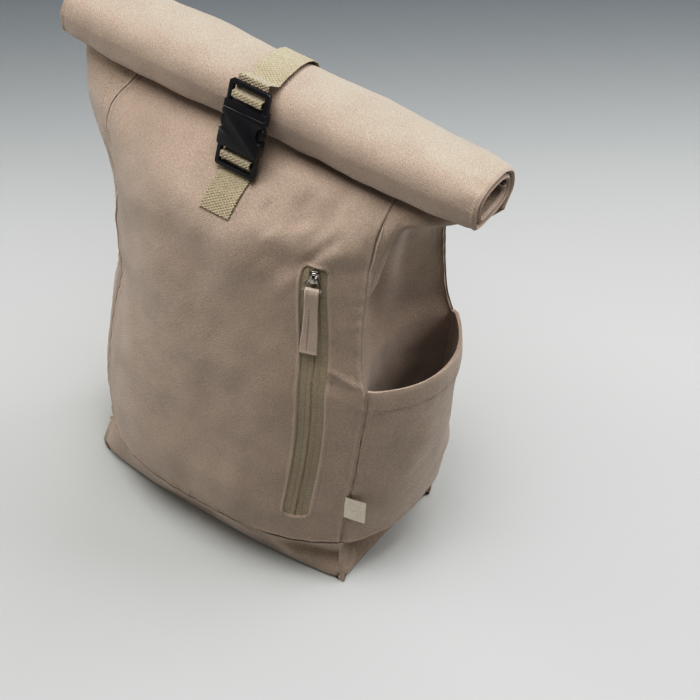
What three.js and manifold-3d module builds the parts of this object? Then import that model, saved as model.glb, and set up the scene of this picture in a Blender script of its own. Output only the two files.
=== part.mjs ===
// A rolltop backpack in sand-coloured canvas, standing on its base with the mouth rolled forward
// and buckled down. The bag is sewn from five panels and a rolled collar, each a thin closed wall,
// so it is hollow inside. Millimetres, +X to the right of the front, +Y to the back, +Z up. The
// origin is the middle of the base.
import * as THREE from "three";
import Module from "manifold-3d";
import { mergeVertices } from "three/addons/utils/BufferGeometryUtils.js";

const wasm = await Module();
wasm.setup();

// Driving sizes
const BAG_WIDTH = 280; // base, left corner to right corner
const BAG_DEPTH = 145; // base, front to back
const NECK_HEIGHT = 424; // floor to the line where the collar starts to roll
const BAND_HEIGHT = 46; // upstand of the base panel, floor to its seam
const CLOTH = 2; // canvas wall
const SEAM_GAP = 0.6; // between two panels at their seam
const TOUCH_GAP = 0.3; // between a piece and what it lies on
const LAID_CLEAR = 0.8; // between a panel and a strap or pad laid along its curve
const PLY_GAP = 2; // space left between the front and back plies at the neck
const NECK_SETBACK = 15; // the closed neck behind the middle of the base

const ROLL_LENGTH = 424; // the mouth laid flat, end to end
const ROLL_DEPTH = 76; // front to back of the roll where its first turn starts
const ROLL_RISE = 56; // height of the roll there
const ROLL_TURNS = 2.1;
const ROLL_FORWARD = 21; // its centre in front of the neck line
const ROLL_CENTRE_RISE = 26; // its centre above the neck line

const POCKET_HEIGHT = 190; // side pocket, from the band seam to its mouth
const POCKET_BOW_RIGHT = 35; // how far the full right pocket stands out at its mouth
const POCKET_BOW_LEFT = 28; // the empty left pocket

const ZIP_WINDOW_WIDTH = 20;
const ZIP_WINDOW_LENGTH = 278;
const ZIP_BOTTOM = 80; // floor to the window's lower end
const ZIP_INSET = 42; // window's lower end in from the right base corner
const ZIP_LEAN = 1; // how much further right its upper end is
const ZIP_SWAY = 7; // how far it bows to the right on the way up, before it leans back left
const ZIP_SWAY_SPAN = 0.78; // the share of its length over which it bows
const ZIP_TAPE_WIDTH = 29;
const ZIP_TAPE_THICKNESS = 0.8;
const ZIP_COIL_WIDTH = 5;
const ZIP_COIL_THICKNESS = 1.4;
const PULL_TAB_WIDTH = 15;
const PULL_TAB_LENGTH = 66;
const PULL_TAB_THICKNESS = 2;
const PULL_TAB_NECK = 12; // the tab's width where it folds through the pull loop
// half widths, length and thickness of the pull's wire loop
const PULL_LOOP = { top: 3.2, bottom: 8, length: 13, wire: 1.5 };

const WEBBING_WIDTH = 30;
const WEBBING_THICKNESS = 1.6;
const STRAP_WEBBING_WIDTH = 25;
const TAB_DROP = 47; // neck line down to the sewn end of the closure tab

const BUCKLE_WIDTH = 41;
const BUCKLE_THICKNESS = 11;
const BUCKLE_SOCKET_LENGTH = 36;
const LADDER_BAR = 3.6; // each crossbar of a ladder
const LADDER_SLOT = 6; // each slot of a ladder
const LADDER_THICKNESS = 4;
const LADDER_RIM = 4; // side rail of a ladder
const BUCKLE_DROP = 25; // neck line down to the cloth behind the buckle's lower end
const BUCKLE_STAND = 7; // its middle plane off that cloth
const BUCKLE_LEAN = 15; // degrees back from upright

const PAD_WIDTH = 200;
const PAD_BOTTOM = 74;
const PAD_DROP = 84; // neck line down to its upper edge
const PAD_THICKNESS = 9;
const SHOULDER_WIDTH = 62;
const SHOULDER_THICKNESS = 11;
const SHOULDER_SPREAD = 54; // each strap's centre from the middle, at its top
const HANDLE_WIDTH = 25;
const HANDLE_SPAN = 120; // between the far edges of its sewn ends
const HANDLE_BOW = 22; // its middle off the back
const HANDLE_DROP = 36; // neck line down to its middle line
const LABEL_WIDTH = 20;
const LABEL_HEIGHT = 26;
const LABEL_THICKNESS = 1;
const LABEL_BOTTOM = 82; // floor to the label's lower edge

const rollCentreY = NECK_SETBACK - ROLL_FORWARD;

const HALF_WIDTH = BAG_WIDTH / 2;
const HALF_DEPTH = BAG_DEPTH / 2;

// The bag's outline at each height. height is a share of NECK_HEIGHT; left and right are where the
// side seams stand, as shares of HALF_WIDTH; front and back are where they stand as shares of
// HALF_DEPTH from the middle plane; belly, bowLeft, bowRight and bowBack are how far each panel
// stands out between its seams, as shares of BAG_DEPTH. power, powerLeft and powerRight shape a
// panel between its seams: 1 is a straight-sided fold, 2 an even arc, more is flatter with tighter
// ends. crease is how far forward the left side's fold stands, from 0 in its middle to 1.
const SECTION_COLUMNS = [
  "height", "left", "right", "front", "back", "belly", "bowLeft",
  "bowRight", "bowBack", "power", "powerLeft", "powerRight", "crease",
];
const SECTIONS = [
  [0.0, 1.0, 1.0, -1.0, 1.0, 0.065, 0.0, -0.02, 0.0, 2.6, 2, 2, 0],
  [0.035, 0.98, 0.98, -0.99, 1.0, 0.12, 0.01, -0.07, 0.01, 2.8, 2, 2, 0],
  [0.11, 0.92, 0.945, -0.97, 0.99, 0.25, 0.04, 0.1, 0.015, 3.2, 2, 2, 0],
  [0.21, 0.95, 0.965, -0.96, 0.99, 0.29, 0.07, -0.02, 0.02, 3.0, 2, 2, 0],
  [0.32, 0.945, 0.995, -0.93, 0.99, 0.305, 0.09, -0.1, 0.02, 2.8, 2.1, 2.1, 0],
  [0.44, 0.91, 1.015, -0.9, 0.98, 0.31, 0.1, -0.15, 0.02, 2.7, 2.2, 2.2, 0.05],
  [0.54, 0.86, 1.03, -0.88, 0.97, 0.315, 0.11, -0.17, 0.02, 2.6, 2.1, 2.2, 0.12],
  [0.6, 0.895, 0.975, -0.855, 0.95, 0.32, 0.12, -0.17, 0.018, 2.6, 2, 2.2, 0.2],
  [0.68, 0.93, 0.95, -0.82, 0.91, 0.32, 0.18, -0.16, 0.015, 2.5, 1.7, 2.1, 0.3],
  [0.76, 0.91, 0.945, -0.79, 0.86, 0.32, 0.29, -0.14, 0.01, 2.4, 1.5, 2, 0.36],
  [0.83, 0.975, 0.945, -0.77, 0.8, 0.3, 0.33, -0.08, 0.0, 2.3, 1.4, 1.7, 0.38],
  [0.885, 1.03, 0.945, -0.72, 0.73, 0.265, 0.345, 0.01, 0.0, 2.2, 1.4, 1.4, 0.34],
  [0.925, 1.035, 0.945, -0.64, 0.64, 0.18, 0.385, 0.16, 0.0, 2.1, 1.5, 1.3, 0.22],
  [0.955, 1.0, 0.945, -0.5, 0.54, 0.09, 0.455, 0.34, 0.0, 2.1, 1.7, 1.5, 0.1],
  [0.977, 0.965, 0.945, -0.31, 0.42, 0.035, 0.5, 0.46, 0.0, 2, 2.4, 2.2, 0.03],
].map((row) => Object.fromEntries(row.map((value, i) => [SECTION_COLUMNS[i], value])));
// The neck closes to two flat plies whose side creases stand at the ends of the roll.
const NECK = {
  left: 0.943,
  right: 0.943,
  front: (NECK_SETBACK - CLOTH - PLY_GAP / 2) / HALF_DEPTH,
  back: (NECK_SETBACK + CLOTH + PLY_GAP / 2) / HALF_DEPTH,
  power: 2,
  powerLeft: 7,
  powerRight: 7,
  crease: 0,
};
const NECK_BOW = (ROLL_LENGTH / 2 - NECK.left * HALF_WIDTH) / BAG_DEPTH;
SECTIONS.push({ ...NECK, height: 1, belly: 0, bowLeft: NECK_BOW, bowRight: NECK_BOW, bowBack: 0 });

// Soft dents of the front panel. x and z are the middle as shares of HALF_WIDTH and NECK_HEIGHT,
// wide and tall the reach as shares of the same, turn the slant in degrees, depth a share of
// BAG_DEPTH inwards.
const FRONT_DENTS = [
  { x: 0.62, z: 0.9, wide: 0.3, tall: 0.055, turn: 24, depth: 0.05 },
  { x: 0.78, z: 0.6, wide: 0.12, tall: 0.16, turn: 38, depth: 0.03 },
  { x: -0.7, z: 0.66, wide: 0.2, tall: 0.1, turn: -30, depth: 0.035 },
  { x: -0.2, z: 0.78, wide: 0.5, tall: 0.07, turn: -14, depth: 0.02 },
  { x: 0.1, z: 0.2, wide: 0.5, tall: 0.08, turn: 6, depth: -0.02 },
];

const lerp = THREE.MathUtils.lerp;
const radians = THREE.MathUtils.degToRad;

// A smooth curve through a table's rows: every column at a given value of the key column.
function rowAt(table, key, value) {
  const last = table.length - 1;
  let i = 0;
  while (i < last - 1 && value > table[i + 1][key]) i++;
  const [a, b] = [table[i], table[i + 1]];
  const [before, after] = [table[Math.max(i - 1, 0)], table[Math.min(i + 2, last)]];
  const span = b[key] - a[key];
  const t = THREE.MathUtils.clamp((value - a[key]) / span, 0, 1);
  const row = {};
  for (const column of Object.keys(a)) {
    const rise = b[column] - a[column];
    const startSlope = i > 0 ? ((b[column] - before[column]) / (b[key] - before[key])) * span : rise;
    const endSlope = i < last - 1 ? ((after[column] - a[column]) / (after[key] - a[key])) * span : rise;
    row[column] =
      a[column] * (2 * t ** 3 - 3 * t ** 2 + 1) +
      startSlope * (t ** 3 - 2 * t ** 2 + t) +
      b[column] * (3 * t ** 2 - 2 * t ** 3) +
      endSlope * (t ** 3 - t ** 2);
  }
  return row;
}

function sectionAt(z) {
  return rowAt(SECTIONS, "height", z / NECK_HEIGHT);
}

function dentAt(x, z) {
  let depth = 0;
  for (const dent of FRONT_DENTS) {
    const dx = x / HALF_WIDTH - dent.x;
    const dz = z / NECK_HEIGHT - dent.z;
    const turn = radians(dent.turn);
    const along = (dx * Math.cos(turn) + dz * Math.sin(turn)) / dent.wide;
    const across = (dz * Math.cos(turn) - dx * Math.sin(turn)) / dent.tall;
    depth += dent.depth * BAG_DEPTH * Math.exp(-(along ** 2 + across ** 2));
  }
  return depth;
}

// A curve from 0 at s = -1 up to 1 at s = crease and back to 0 at s = 1.
function arch(s, power, crease = 0) {
  const reach = s > crease ? 1 - crease : 1 + crease;
  return 1 - Math.abs((s - crease) / reach) ** power;
}

// Points of the bag's outer skin, by panel, with t from 0 to 1 round the bag: front left to right,
// then right side front to back, back right to left, left side back to front.
const PANEL_POINTS = {
  front(t, z) {
    const row = sectionAt(z);
    const s = 2 * t - 1;
    const x = lerp(-row.left, row.right, t) * HALF_WIDTH;
    const bulge = row.belly * BAG_DEPTH - dentAt(x, z) * Math.min(1, row.belly / 0.1);
    return new THREE.Vector3(x, row.front * HALF_DEPTH - bulge * arch(s, row.power), z);
  },
  right(t, z) {
    const row = sectionAt(z);
    const s = Math.sin((Math.PI / 2) * (2 * t - 1));
    const x = row.right * HALF_WIDTH + row.bowRight * BAG_DEPTH * arch(s, row.powerRight);
    return new THREE.Vector3(x, lerp(row.front, row.back, (s + 1) / 2) * HALF_DEPTH, z);
  },
  back(t, z) {
    const row = sectionAt(z);
    const x = lerp(row.right, -row.left, t) * HALF_WIDTH;
    return new THREE.Vector3(x, row.back * HALF_DEPTH + row.bowBack * BAG_DEPTH * arch(2 * t - 1, 2), z);
  },
  left(t, z) {
    const row = sectionAt(z);
    const s = Math.sin((Math.PI / 2) * (2 * t - 1));
    const x = -row.left * HALF_WIDTH - row.bowLeft * BAG_DEPTH * arch(s, row.powerLeft, row.crease);
    return new THREE.Vector3(x, lerp(row.back, row.front, (s + 1) / 2) * HALF_DEPTH, z);
  },
};
const PANEL_CELLS = { front: 14, right: 8, back: 8, left: 8 };
const PANEL_ORDER = ["front", "right", "back", "left"];

// The whole skin as rings of points, one ring for each height, with each panel's first column.
function skinRings(heights) {
  const starts = {};
  let columns = 0;
  for (const panel of PANEL_ORDER) {
    starts[panel] = columns;
    columns += PANEL_CELLS[panel];
  }
  const rings = heights.map((z) =>
    PANEL_ORDER.flatMap((panel) =>
      Array.from({ length: PANEL_CELLS[panel] }, (_, i) => PANEL_POINTS[panel](i / PANEL_CELLS[panel], z)),
    ),
  );
  return { rings, starts, columns };
}

// For each point of a grid, the way into the cloth and how far, so that the wall is one thickness
// on both sides of a fold. closed joins the last column to the first; level keeps the first and
// last rows of the wall flat.
function inwardOffsets(grid, thickness, { closed = false, level = false } = {}) {
  const rows = grid.length;
  const columns = grid[0].length;
  const MOST_STRETCH = 1.7;
  const faceNormal = (r, c) => {
    const [a, b] = [grid[r][c], grid[r][(c + 1) % columns]];
    const [d, e] = [grid[r + 1][c], grid[r + 1][(c + 1) % columns]];
    const across = b.clone().sub(a).add(e.clone().sub(d));
    const up = d.clone().sub(a).add(e.clone().sub(b));
    return across.cross(up).normalize();
  };
  return grid.map((ring, r) =>
    ring.map((_, c) => {
      const normals = [];
      for (const dr of [-1, 0]) {
        for (const dc of [-1, 0]) {
          const fr = r + dr;
          const fc = closed ? (c + dc + columns) % columns : c + dc;
          if (fr < 0 || fr >= rows - 1 || fc < 0 || (!closed && fc >= columns - 1)) continue;
          normals.push(faceNormal(fr, fc));
        }
      }
      if (level && (r === 0 || r === rows - 1)) normals.forEach((n) => n.setZ(0).normalize());
      const mean = normals.reduce((sum, n) => sum.add(n), new THREE.Vector3()).normalize();
      const cosine = normals.reduce((sum, n) => sum + n.dot(mean), 0) / normals.length;
      return mean.multiplyScalar(-Math.min(thickness / Math.max(cosine, 0.1), MOST_STRETCH * thickness));
    }),
  );
}

// A closed wall between two grids of points of the same size, outer and inner, open neither way.
function wallGeometry(outer, inner) {
  const rows = outer.length;
  const columns = outer[0].length;
  const points = [...outer.flat(), ...inner.flat()];
  const at = (layer, r, c) => layer * rows * columns + r * columns + c;
  const faces = [];
  const quad = (a, b, c, d) => faces.push(a, b, c, a, c, d);
  for (let r = 0; r < rows - 1; r++) {
    for (let c = 0; c < columns - 1; c++) {
      quad(at(0, r, c), at(0, r, c + 1), at(0, r + 1, c + 1), at(0, r + 1, c));
      quad(at(1, r, c), at(1, r + 1, c), at(1, r + 1, c + 1), at(1, r, c + 1));
    }
  }
  for (let c = 0; c < columns - 1; c++) {
    quad(at(1, 0, c), at(1, 0, c + 1), at(0, 0, c + 1), at(0, 0, c));
    quad(at(0, rows - 1, c), at(0, rows - 1, c + 1), at(1, rows - 1, c + 1), at(1, rows - 1, c));
  }
  for (let r = 0; r < rows - 1; r++) {
    quad(at(0, r, 0), at(0, r + 1, 0), at(1, r + 1, 0), at(1, r, 0));
    const edge = columns - 1;
    quad(at(1, r, edge), at(1, r + 1, edge), at(0, r + 1, edge), at(0, r, edge));
  }
  return indexedGeometry(points, faces);
}

function indexedGeometry(points, faces) {
  const geometry = new THREE.BufferGeometry();
  const positions = points.flatMap((point) => point.toArray());
  geometry.setAttribute("position", new THREE.Float32BufferAttribute(positions, 3));
  geometry.setIndex(faces);
  return geometry;
}

// Draws a grid's two outer columns in by half a seam gap, so that neighbours don't touch.
function trimColumns(grid) {
  const trim = (from, towards) => {
    const step = towards.clone().sub(from);
    return from.clone().add(step.setLength(Math.min(SEAM_GAP / 2, step.length() / 2)));
  };
  return grid.map((ring) => {
    const last = ring.length - 1;
    return ring.map((p, c) => {
      if (c === 0) return trim(p, ring[1]);
      if (c === last) return trim(p, ring[last - 1]);
      return p;
    });
  });
}

const BODY_HEIGHT_SHARES = [0, 0.13, 0.26, 0.39, 0.51, 0.62, 0.72, 0.8, 0.86, 0.905, 0.94, 0.965, 0.985, 1];
const bodyBottom = BAND_HEIGHT + SEAM_GAP / 2;
const bodyHeights = BODY_HEIGHT_SHARES.map((share) => lerp(bodyBottom, NECK_HEIGHT, share));
const bodySkin = skinRings(bodyHeights);
const bodyOffsets = inwardOffsets(bodySkin.rings, CLOTH, { closed: true, level: true });

// One sewn panel of the bag, cut out of the skin between its two seams.
function panelGeometry(panel) {
  const start = bodySkin.starts[panel];
  const columns = Array.from({ length: PANEL_CELLS[panel] + 1 }, (_, i) => (start + i) % bodySkin.columns);
  const outer = bodySkin.rings.map((ring) => columns.map((c) => ring[c].clone()));
  const inner = bodySkin.rings.map((ring, r) => columns.map((c) => ring[c].clone().add(bodyOffsets[r][c])));
  return wallGeometry(trimColumns(outer), trimColumns(inner));
}

function toSolid(geometry) {
  const plain = geometry.clone();
  plain.deleteAttribute("normal");
  plain.deleteAttribute("uv");
  const merged = mergeVertices(plain, 1e-4);
  const vertProperties = new Float32Array(merged.attributes.position.array);
  const triVerts = new Uint32Array(merged.index.array);
  return new wasm.Manifold(new wasm.Mesh({ numProp: 3, vertProperties, triVerts }));
}

function toGeometry(solid) {
  const mesh = solid.getMesh();
  const positions = new Float32Array(mesh.numVert * 3);
  for (let i = 0; i < mesh.numVert; i++) {
    positions.set(mesh.vertProperties.subarray(i * mesh.numProp, i * mesh.numProp + 3), i * 3);
  }
  const geometry = new THREE.BufferGeometry();
  geometry.setAttribute("position", new THREE.BufferAttribute(positions, 3));
  geometry.setIndex(new THREE.BufferAttribute(new Uint32Array(mesh.triVerts), 1));
  return geometry;
}

function boxGeometry(width, depth, height, x, y, z) {
  return new THREE.BoxGeometry(width, depth, height).translate(x, y, z);
}

const panelMeshes = {};
for (const panel of PANEL_ORDER) {
  const uncut = new THREE.Mesh(panelGeometry(panel), new THREE.MeshBasicMaterial());
  uncut.updateMatrixWorld();
  panelMeshes[panel] = uncut;
}
const LOOK_IN = {
  front: { axis: "y", from: -1 },
  right: { axis: "x", from: 1 },
  back: { axis: "y", from: 1 },
  left: { axis: "x", from: -1 },
};

// Where a panel's outside is, looking straight at it at a place; near its seams the nearest place
// on it is used.
function onPanel(panel, place) {
  const { axis, from } = LOOK_IN[panel];
  const FAR = 400;
  const cast = (spot) => {
    const start = spot.clone();
    start[axis] = from * FAR;
    const way = new THREE.Vector3();
    way[axis] = -from;
    const [hit] = new THREE.Raycaster(start, way).intersectObject(panelMeshes[panel]);
    return hit?.point;
  };
  for (let draw = 1; draw > 0.9; draw -= 0.004) {
    const spot = place.clone();
    spot.z = Math.max(spot.z, bodyBottom + 0.01);
    if (axis === "y") spot.x *= draw;
    else spot.y *= draw;
    const found = cast(spot);
    if (found) {
      const point = place.clone();
      point[axis] = found[axis];
      return point;
    }
  }
  throw new Error(`nothing of the ${panel} panel at ${place.toArray()}`);
}

// A frame that lies on the front or back panel: its place, the ways across, up and out of the cloth.
function clothFrame(panel, x, z, stand = 0) {
  const STEP = 12;
  const at = (dx, dz) => onPanel(panel, new THREE.Vector3(x + dx, 0, z + dz));
  const across = at(STEP / 2, 0).sub(at(-STEP / 2, 0)).normalize();
  const up = at(0, STEP / 2).sub(at(0, -STEP / 2)).normalize();
  const out = across.clone().cross(up).normalize();
  if (panel === "back") out.negate();
  return { place: at(0, 0).addScaledVector(out, stand), across, up, out };
}

const zipTop = ZIP_BOTTOM + ZIP_WINDOW_LENGTH;
// The middle of the zip at a height, which bows as the full bag pulls its cloth.
function zipX(z) {
  const share = (z - ZIP_BOTTOM) / ZIP_WINDOW_LENGTH;
  const bow = ZIP_SWAY * Math.sin((Math.PI * share) / ZIP_SWAY_SPAN);
  return HALF_WIDTH - ZIP_INSET + ZIP_LEAN * share + bow;
}

// The front panel, with the zip's window cut through.
function frontPanel() {
  const FAR = 200;
  const CORNER = 5;
  const SIDE_STEPS = 14;
  const half = ZIP_WINDOW_WIDTH / 2;
  const outline = new THREE.Shape();
  const corners = [
    [zipX(ZIP_BOTTOM) - half, ZIP_BOTTOM, 0, 1],
    [zipX(zipTop) - half, zipTop, 1, 0],
    [zipX(zipTop) + half, zipTop, 0, -1],
    [zipX(ZIP_BOTTOM) + half, ZIP_BOTTOM, -1, 0],
  ];
  corners.forEach(([x, z, goX, goZ], i) => {
    const [comeX, comeZ] = [goZ, -goX];
    const start = [x + comeX * CORNER, z + comeZ * CORNER];
    if (i === 0) outline.moveTo(...start);
    else outline.lineTo(...start);
    outline.quadraticCurveTo(x, z, x + goX * CORNER, z + goZ * CORNER);
    for (let step = 1; step < SIDE_STEPS && goZ !== 0; step++) {
      const share = goZ > 0 ? step / SIDE_STEPS : 1 - step / SIDE_STEPS;
      const height = lerp(ZIP_BOTTOM, zipTop, share);
      outline.lineTo(zipX(height) - goZ * half, height);
    }
  });
  const window = new THREE.ExtrudeGeometry(outline, { depth: FAR, bevelEnabled: false, curveSegments: 3 });
  window.rotateX(Math.PI / 2);
  return toGeometry(toSolid(panelGeometry("front")).subtract(toSolid(window)));
}

// The base panel: a flat bottom with an upstand whose corners stand out a little.
function basePanel() {
  const WALL_SHARES = [0, 0.16, 0.4, 0.7, 1];
  const top = BAND_HEIGHT - SEAM_GAP / 2;
  const heights = WALL_SHARES.map((share) => share * top);
  const skin = skinRings(heights);
  const offsets = inwardOffsets(skin.rings, CLOTH, { closed: true, level: true });
  const outer = skin.rings;
  const inner = skin.rings.map((ring, r) =>
    ring.map((p, c) => {
      const shift = offsets[r][c].clone();
      if (r === 0) shift.setZ(CLOTH);
      return p.clone().add(shift);
    }),
  );
  const n = skin.columns;
  const middles = [new THREE.Vector3(0, 0, 0), new THREE.Vector3(0, 0, CLOTH)];
  const points = [...outer.flat(), ...inner.flat(), ...middles];
  const at = (layer, r, c) => layer * n * heights.length + r * n + (c % n);
  const [outerMiddle, innerMiddle] = [points.length - 2, points.length - 1];
  const faces = [];
  const quad = (a, b, c, d) => faces.push(a, b, c, a, c, d);
  const last = heights.length - 1;
  for (let c = 0; c < n; c++) {
    for (let r = 0; r < last; r++) {
      quad(at(0, r, c), at(0, r, c + 1), at(0, r + 1, c + 1), at(0, r + 1, c));
      quad(at(1, r, c), at(1, r + 1, c), at(1, r + 1, c + 1), at(1, r, c + 1));
    }
    quad(at(0, last, c), at(0, last, c + 1), at(1, last, c + 1), at(1, last, c));
    faces.push(outerMiddle, at(0, 0, c + 1), at(0, 0, c));
    faces.push(innerMiddle, at(1, 0, c), at(1, 0, c + 1));
  }
  return indexedGeometry(points, faces);
}

// How full the roll is along its length: share is of half its length, size of the full section.
const ROLL_TAPER = [
  { share: 0, size: 0.98 },
  { share: 0.4, size: 1 },
  { share: 0.7, size: 0.98 },
  { share: 0.88, size: 0.92 },
  { share: 1, size: 0.85 },
];

const PLY_HALF = CLOTH + PLY_GAP / 2; // from the middle of the two plies to their outside
const ROLL_PITCH = 2 * PLY_HALF + 1.2;
const ROLL_START = radians(-32); // measured from the back of the roll, upwards and forwards
const ROLL_TILT = radians(5); // the roll's front hangs a little lower than its back
const ROUND = 2.4; // the roll's upper and back corners: 2 is an oval, more is squarer
const SQUARE = 6; // its lower front corner

// The line that the middle of the two plies follows in the plane of y and z: up from the neck, then
// round and inwards.
function rollPath(steps) {
  const path = [];
  for (let i = 0; i <= steps; i++) {
    const turns = (ROLL_TURNS * i) / steps;
    const angle = ROLL_START + turns * 2 * Math.PI;
    const [cosine, sine] = [Math.cos(angle), Math.sin(angle)];
    const front = THREE.MathUtils.smoothstep(-cosine, -0.3, 0.6);
    const lowerFront = front * THREE.MathUtils.smoothstep(-sine, -0.3, 0.6);
    const power = lerp(ROUND, SQUARE, lowerFront);
    const squared = (value) => Math.sign(value) * Math.abs(value) ** (2 / power);
    const along = (ROLL_DEPTH / 2 - PLY_HALF - ROLL_PITCH * turns) * squared(cosine);
    const rise = (ROLL_RISE / 2 - PLY_HALF - ROLL_PITCH * turns) * squared(sine);
    path.push({
      y: rollCentreY + along * Math.cos(ROLL_TILT) - rise * Math.sin(ROLL_TILT),
      z: NECK_HEIGHT + ROLL_CENTRE_RISE + along * Math.sin(ROLL_TILT) + rise * Math.cos(ROLL_TILT),
    });
  }
  const neck = { y: NECK_SETBACK, z: NECK_HEIGHT + SEAM_GAP };
  return [neck, ...path];
}

// The rolled collar: both plies wound together, with the slit between them open from the neck to
// the mouth.
function rollTop() {
  const STEPS = 26;
  const ACROSS = 8;
  const ROUNDED_END = 0.7; // how far a ply's end stands out, as a share of half its thickness
  const path = rollPath(STEPS);
  const anchor = path[0];
  const quarterTurns = Array.from({ length: ACROSS + 1 }, (_, i) => (2 * i) / ACROSS - 1);
  const shares = quarterTurns.map((turn) => Math.sin((Math.PI / 2) * turn));
  const sides = path.map((p, i) => {
    const before = path[Math.max(i - 1, 0)];
    const after = path[Math.min(i + 1, path.length - 1)];
    const length = Math.hypot(after.y - before.y, after.z - before.z);
    if (i === 0) return { y: -1, z: 0 };
    return { y: -(after.z - before.z) / length, z: (after.y - before.y) / length };
  });
  // One loop round the two plies at a step of the path, standing out from their middle by half, and
  // short of the ends.
  const loop = (i, half, short) => {
    const place = (share, side, endways) => {
      const size = rowAt(ROLL_TAPER, "share", Math.abs(share)).size;
      const x = share * (ROLL_LENGTH / 2 - short) + endways;
      const y = anchor.y + (path[i].y - anchor.y + side * half * sides[i].y) * size;
      const z = anchor.z + (path[i].z - anchor.z + side * half * sides[i].z) * size;
      return new THREE.Vector3(x, y, z);
    };
    const front = shares.map((share) => place(share, 1, 0));
    const back = shares.map((share) => place(-share, -1, 0));
    return [...front, place(1, 0, half * ROUNDED_END), ...back, place(-1, 0, -half * ROUNDED_END)];
  };
  const outer = path.map((_, i) => loop(i, PLY_HALF, ROUNDED_END * PLY_HALF));
  const inner = path.map((_, i) => loop(i, PLY_GAP / 2, CLOTH + (ROUNDED_END * PLY_GAP) / 2));
  const n = outer[0].length;
  const rows = path.length;
  const at = (layer, r, c) => layer * n * rows + r * n + (c % n);
  const faces = [];
  const quad = (a, b, c, d) => faces.push(a, b, c, a, c, d);
  for (let c = 0; c < n; c++) {
    for (let r = 0; r < rows - 1; r++) {
      quad(at(0, r, c), at(0, r, c + 1), at(0, r + 1, c + 1), at(0, r + 1, c));
      quad(at(1, r, c), at(1, r + 1, c), at(1, r + 1, c + 1), at(1, r, c + 1));
    }
    quad(at(1, 0, c), at(1, 0, c + 1), at(0, 0, c + 1), at(0, 0, c));
    quad(at(0, rows - 1, c), at(0, rows - 1, c + 1), at(1, rows - 1, c + 1), at(1, rows - 1, c));
  }
  return indexedGeometry([...outer.flat(), ...inner.flat()], faces);
}

// How far a side pocket stands out between its seams: height is a share of POCKET_HEIGHT, bow of
// its bow at the mouth.
const POCKET_BOWS = [
  { height: 0, bow: 0.7 },
  { height: 0.2, bow: 0.87 },
  { height: 0.5, bow: 0.98 },
  { height: 0.8, bow: 1.01 },
  { height: 1, bow: 1 },
];

// A side pocket: one sheet from the front seam to the back seam, open at the top.
function bottlePocket(panel, mouthBow) {
  const ROWS = 8;
  const COLUMNS = 12;
  const EDGE = 0.965; // the sheet stops just short of the panel seams
  const LEAST_STAND = 3;
  const side = panel === "right" ? 1 : -1;
  const inner = [];
  for (let r = 0; r <= ROWS; r++) {
    const share = r / ROWS;
    const z = bodyBottom + share * POCKET_HEIGHT;
    const row = sectionAt(z);
    const seam = row[panel] * HALF_WIDTH;
    const bow = rowAt(POCKET_BOWS, "height", share).bow * mouthBow;
    const ring = [];
    for (let c = 0; c <= COLUMNS; c++) {
      const s = EDGE * Math.sin((Math.PI / 2) * ((2 * c) / COLUMNS - 1));
      const y = lerp(row.front, row.back, (side * s + 1) / 2) * HALF_DEPTH;
      const cloth = side * onPanel(panel, new THREE.Vector3(0, y, z)).x;
      const full = seam + bow * arch(s, 2.2);
      const x = Math.max(full, cloth + LEAST_STAND * arch(s, 2)) + TOUCH_GAP;
      ring.push(new THREE.Vector3(side * x, y, z));
    }
    inner.push(ring);
  }
  const offsets = inwardOffsets(inner, CLOTH);
  const outer = inner.map((ring, r) => ring.map((p, c) => p.clone().sub(offsets[r][c])));
  return wallGeometry(outer, inner);
}

// A strip along the zip, under or over the front panel by stand at its back, between two heights.
function zipStrip(bottom, top, width, thickness, stand) {
  const ROWS = 26;
  const layer = (offset) =>
    Array.from({ length: ROWS + 1 }, (_, r) => {
      const z = lerp(bottom, top, r / ROWS);
      return [-1, 0, 1].map((side) => clothFrame("front", zipX(z) + (side * width) / 2, z, offset).place);
    });
  return wallGeometry(layer(stand + thickness), layer(stand));
}

// A line through the given points with each corner rounded off.
function roundedLine(points, radius, steps = 3) {
  const line = [points[0]];
  for (let i = 1; i < points.length - 1; i++) {
    const before = points[i - 1].clone().sub(points[i]);
    const after = points[i + 1].clone().sub(points[i]);
    const turn = Math.PI - before.angleTo(after);
    const cut = Math.min(radius * Math.tan(turn / 2), 0.45 * before.length(), 0.45 * after.length());
    if (turn < radians(4)) {
      line.push(points[i]);
      continue;
    }
    const start = points[i].clone().addScaledVector(before.normalize(), cut);
    const end = points[i].clone().addScaledVector(after.normalize(), cut);
    const corner = new THREE.QuadraticBezierCurve3(start, points[i], end);
    line.push(...corner.getPoints(steps));
  }
  line.push(points.at(-1));
  return line;
}

function smoothLine(points, steps) {
  return new THREE.CatmullRomCurve3(points, false, "centripetal").getPoints(steps);
}

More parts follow.
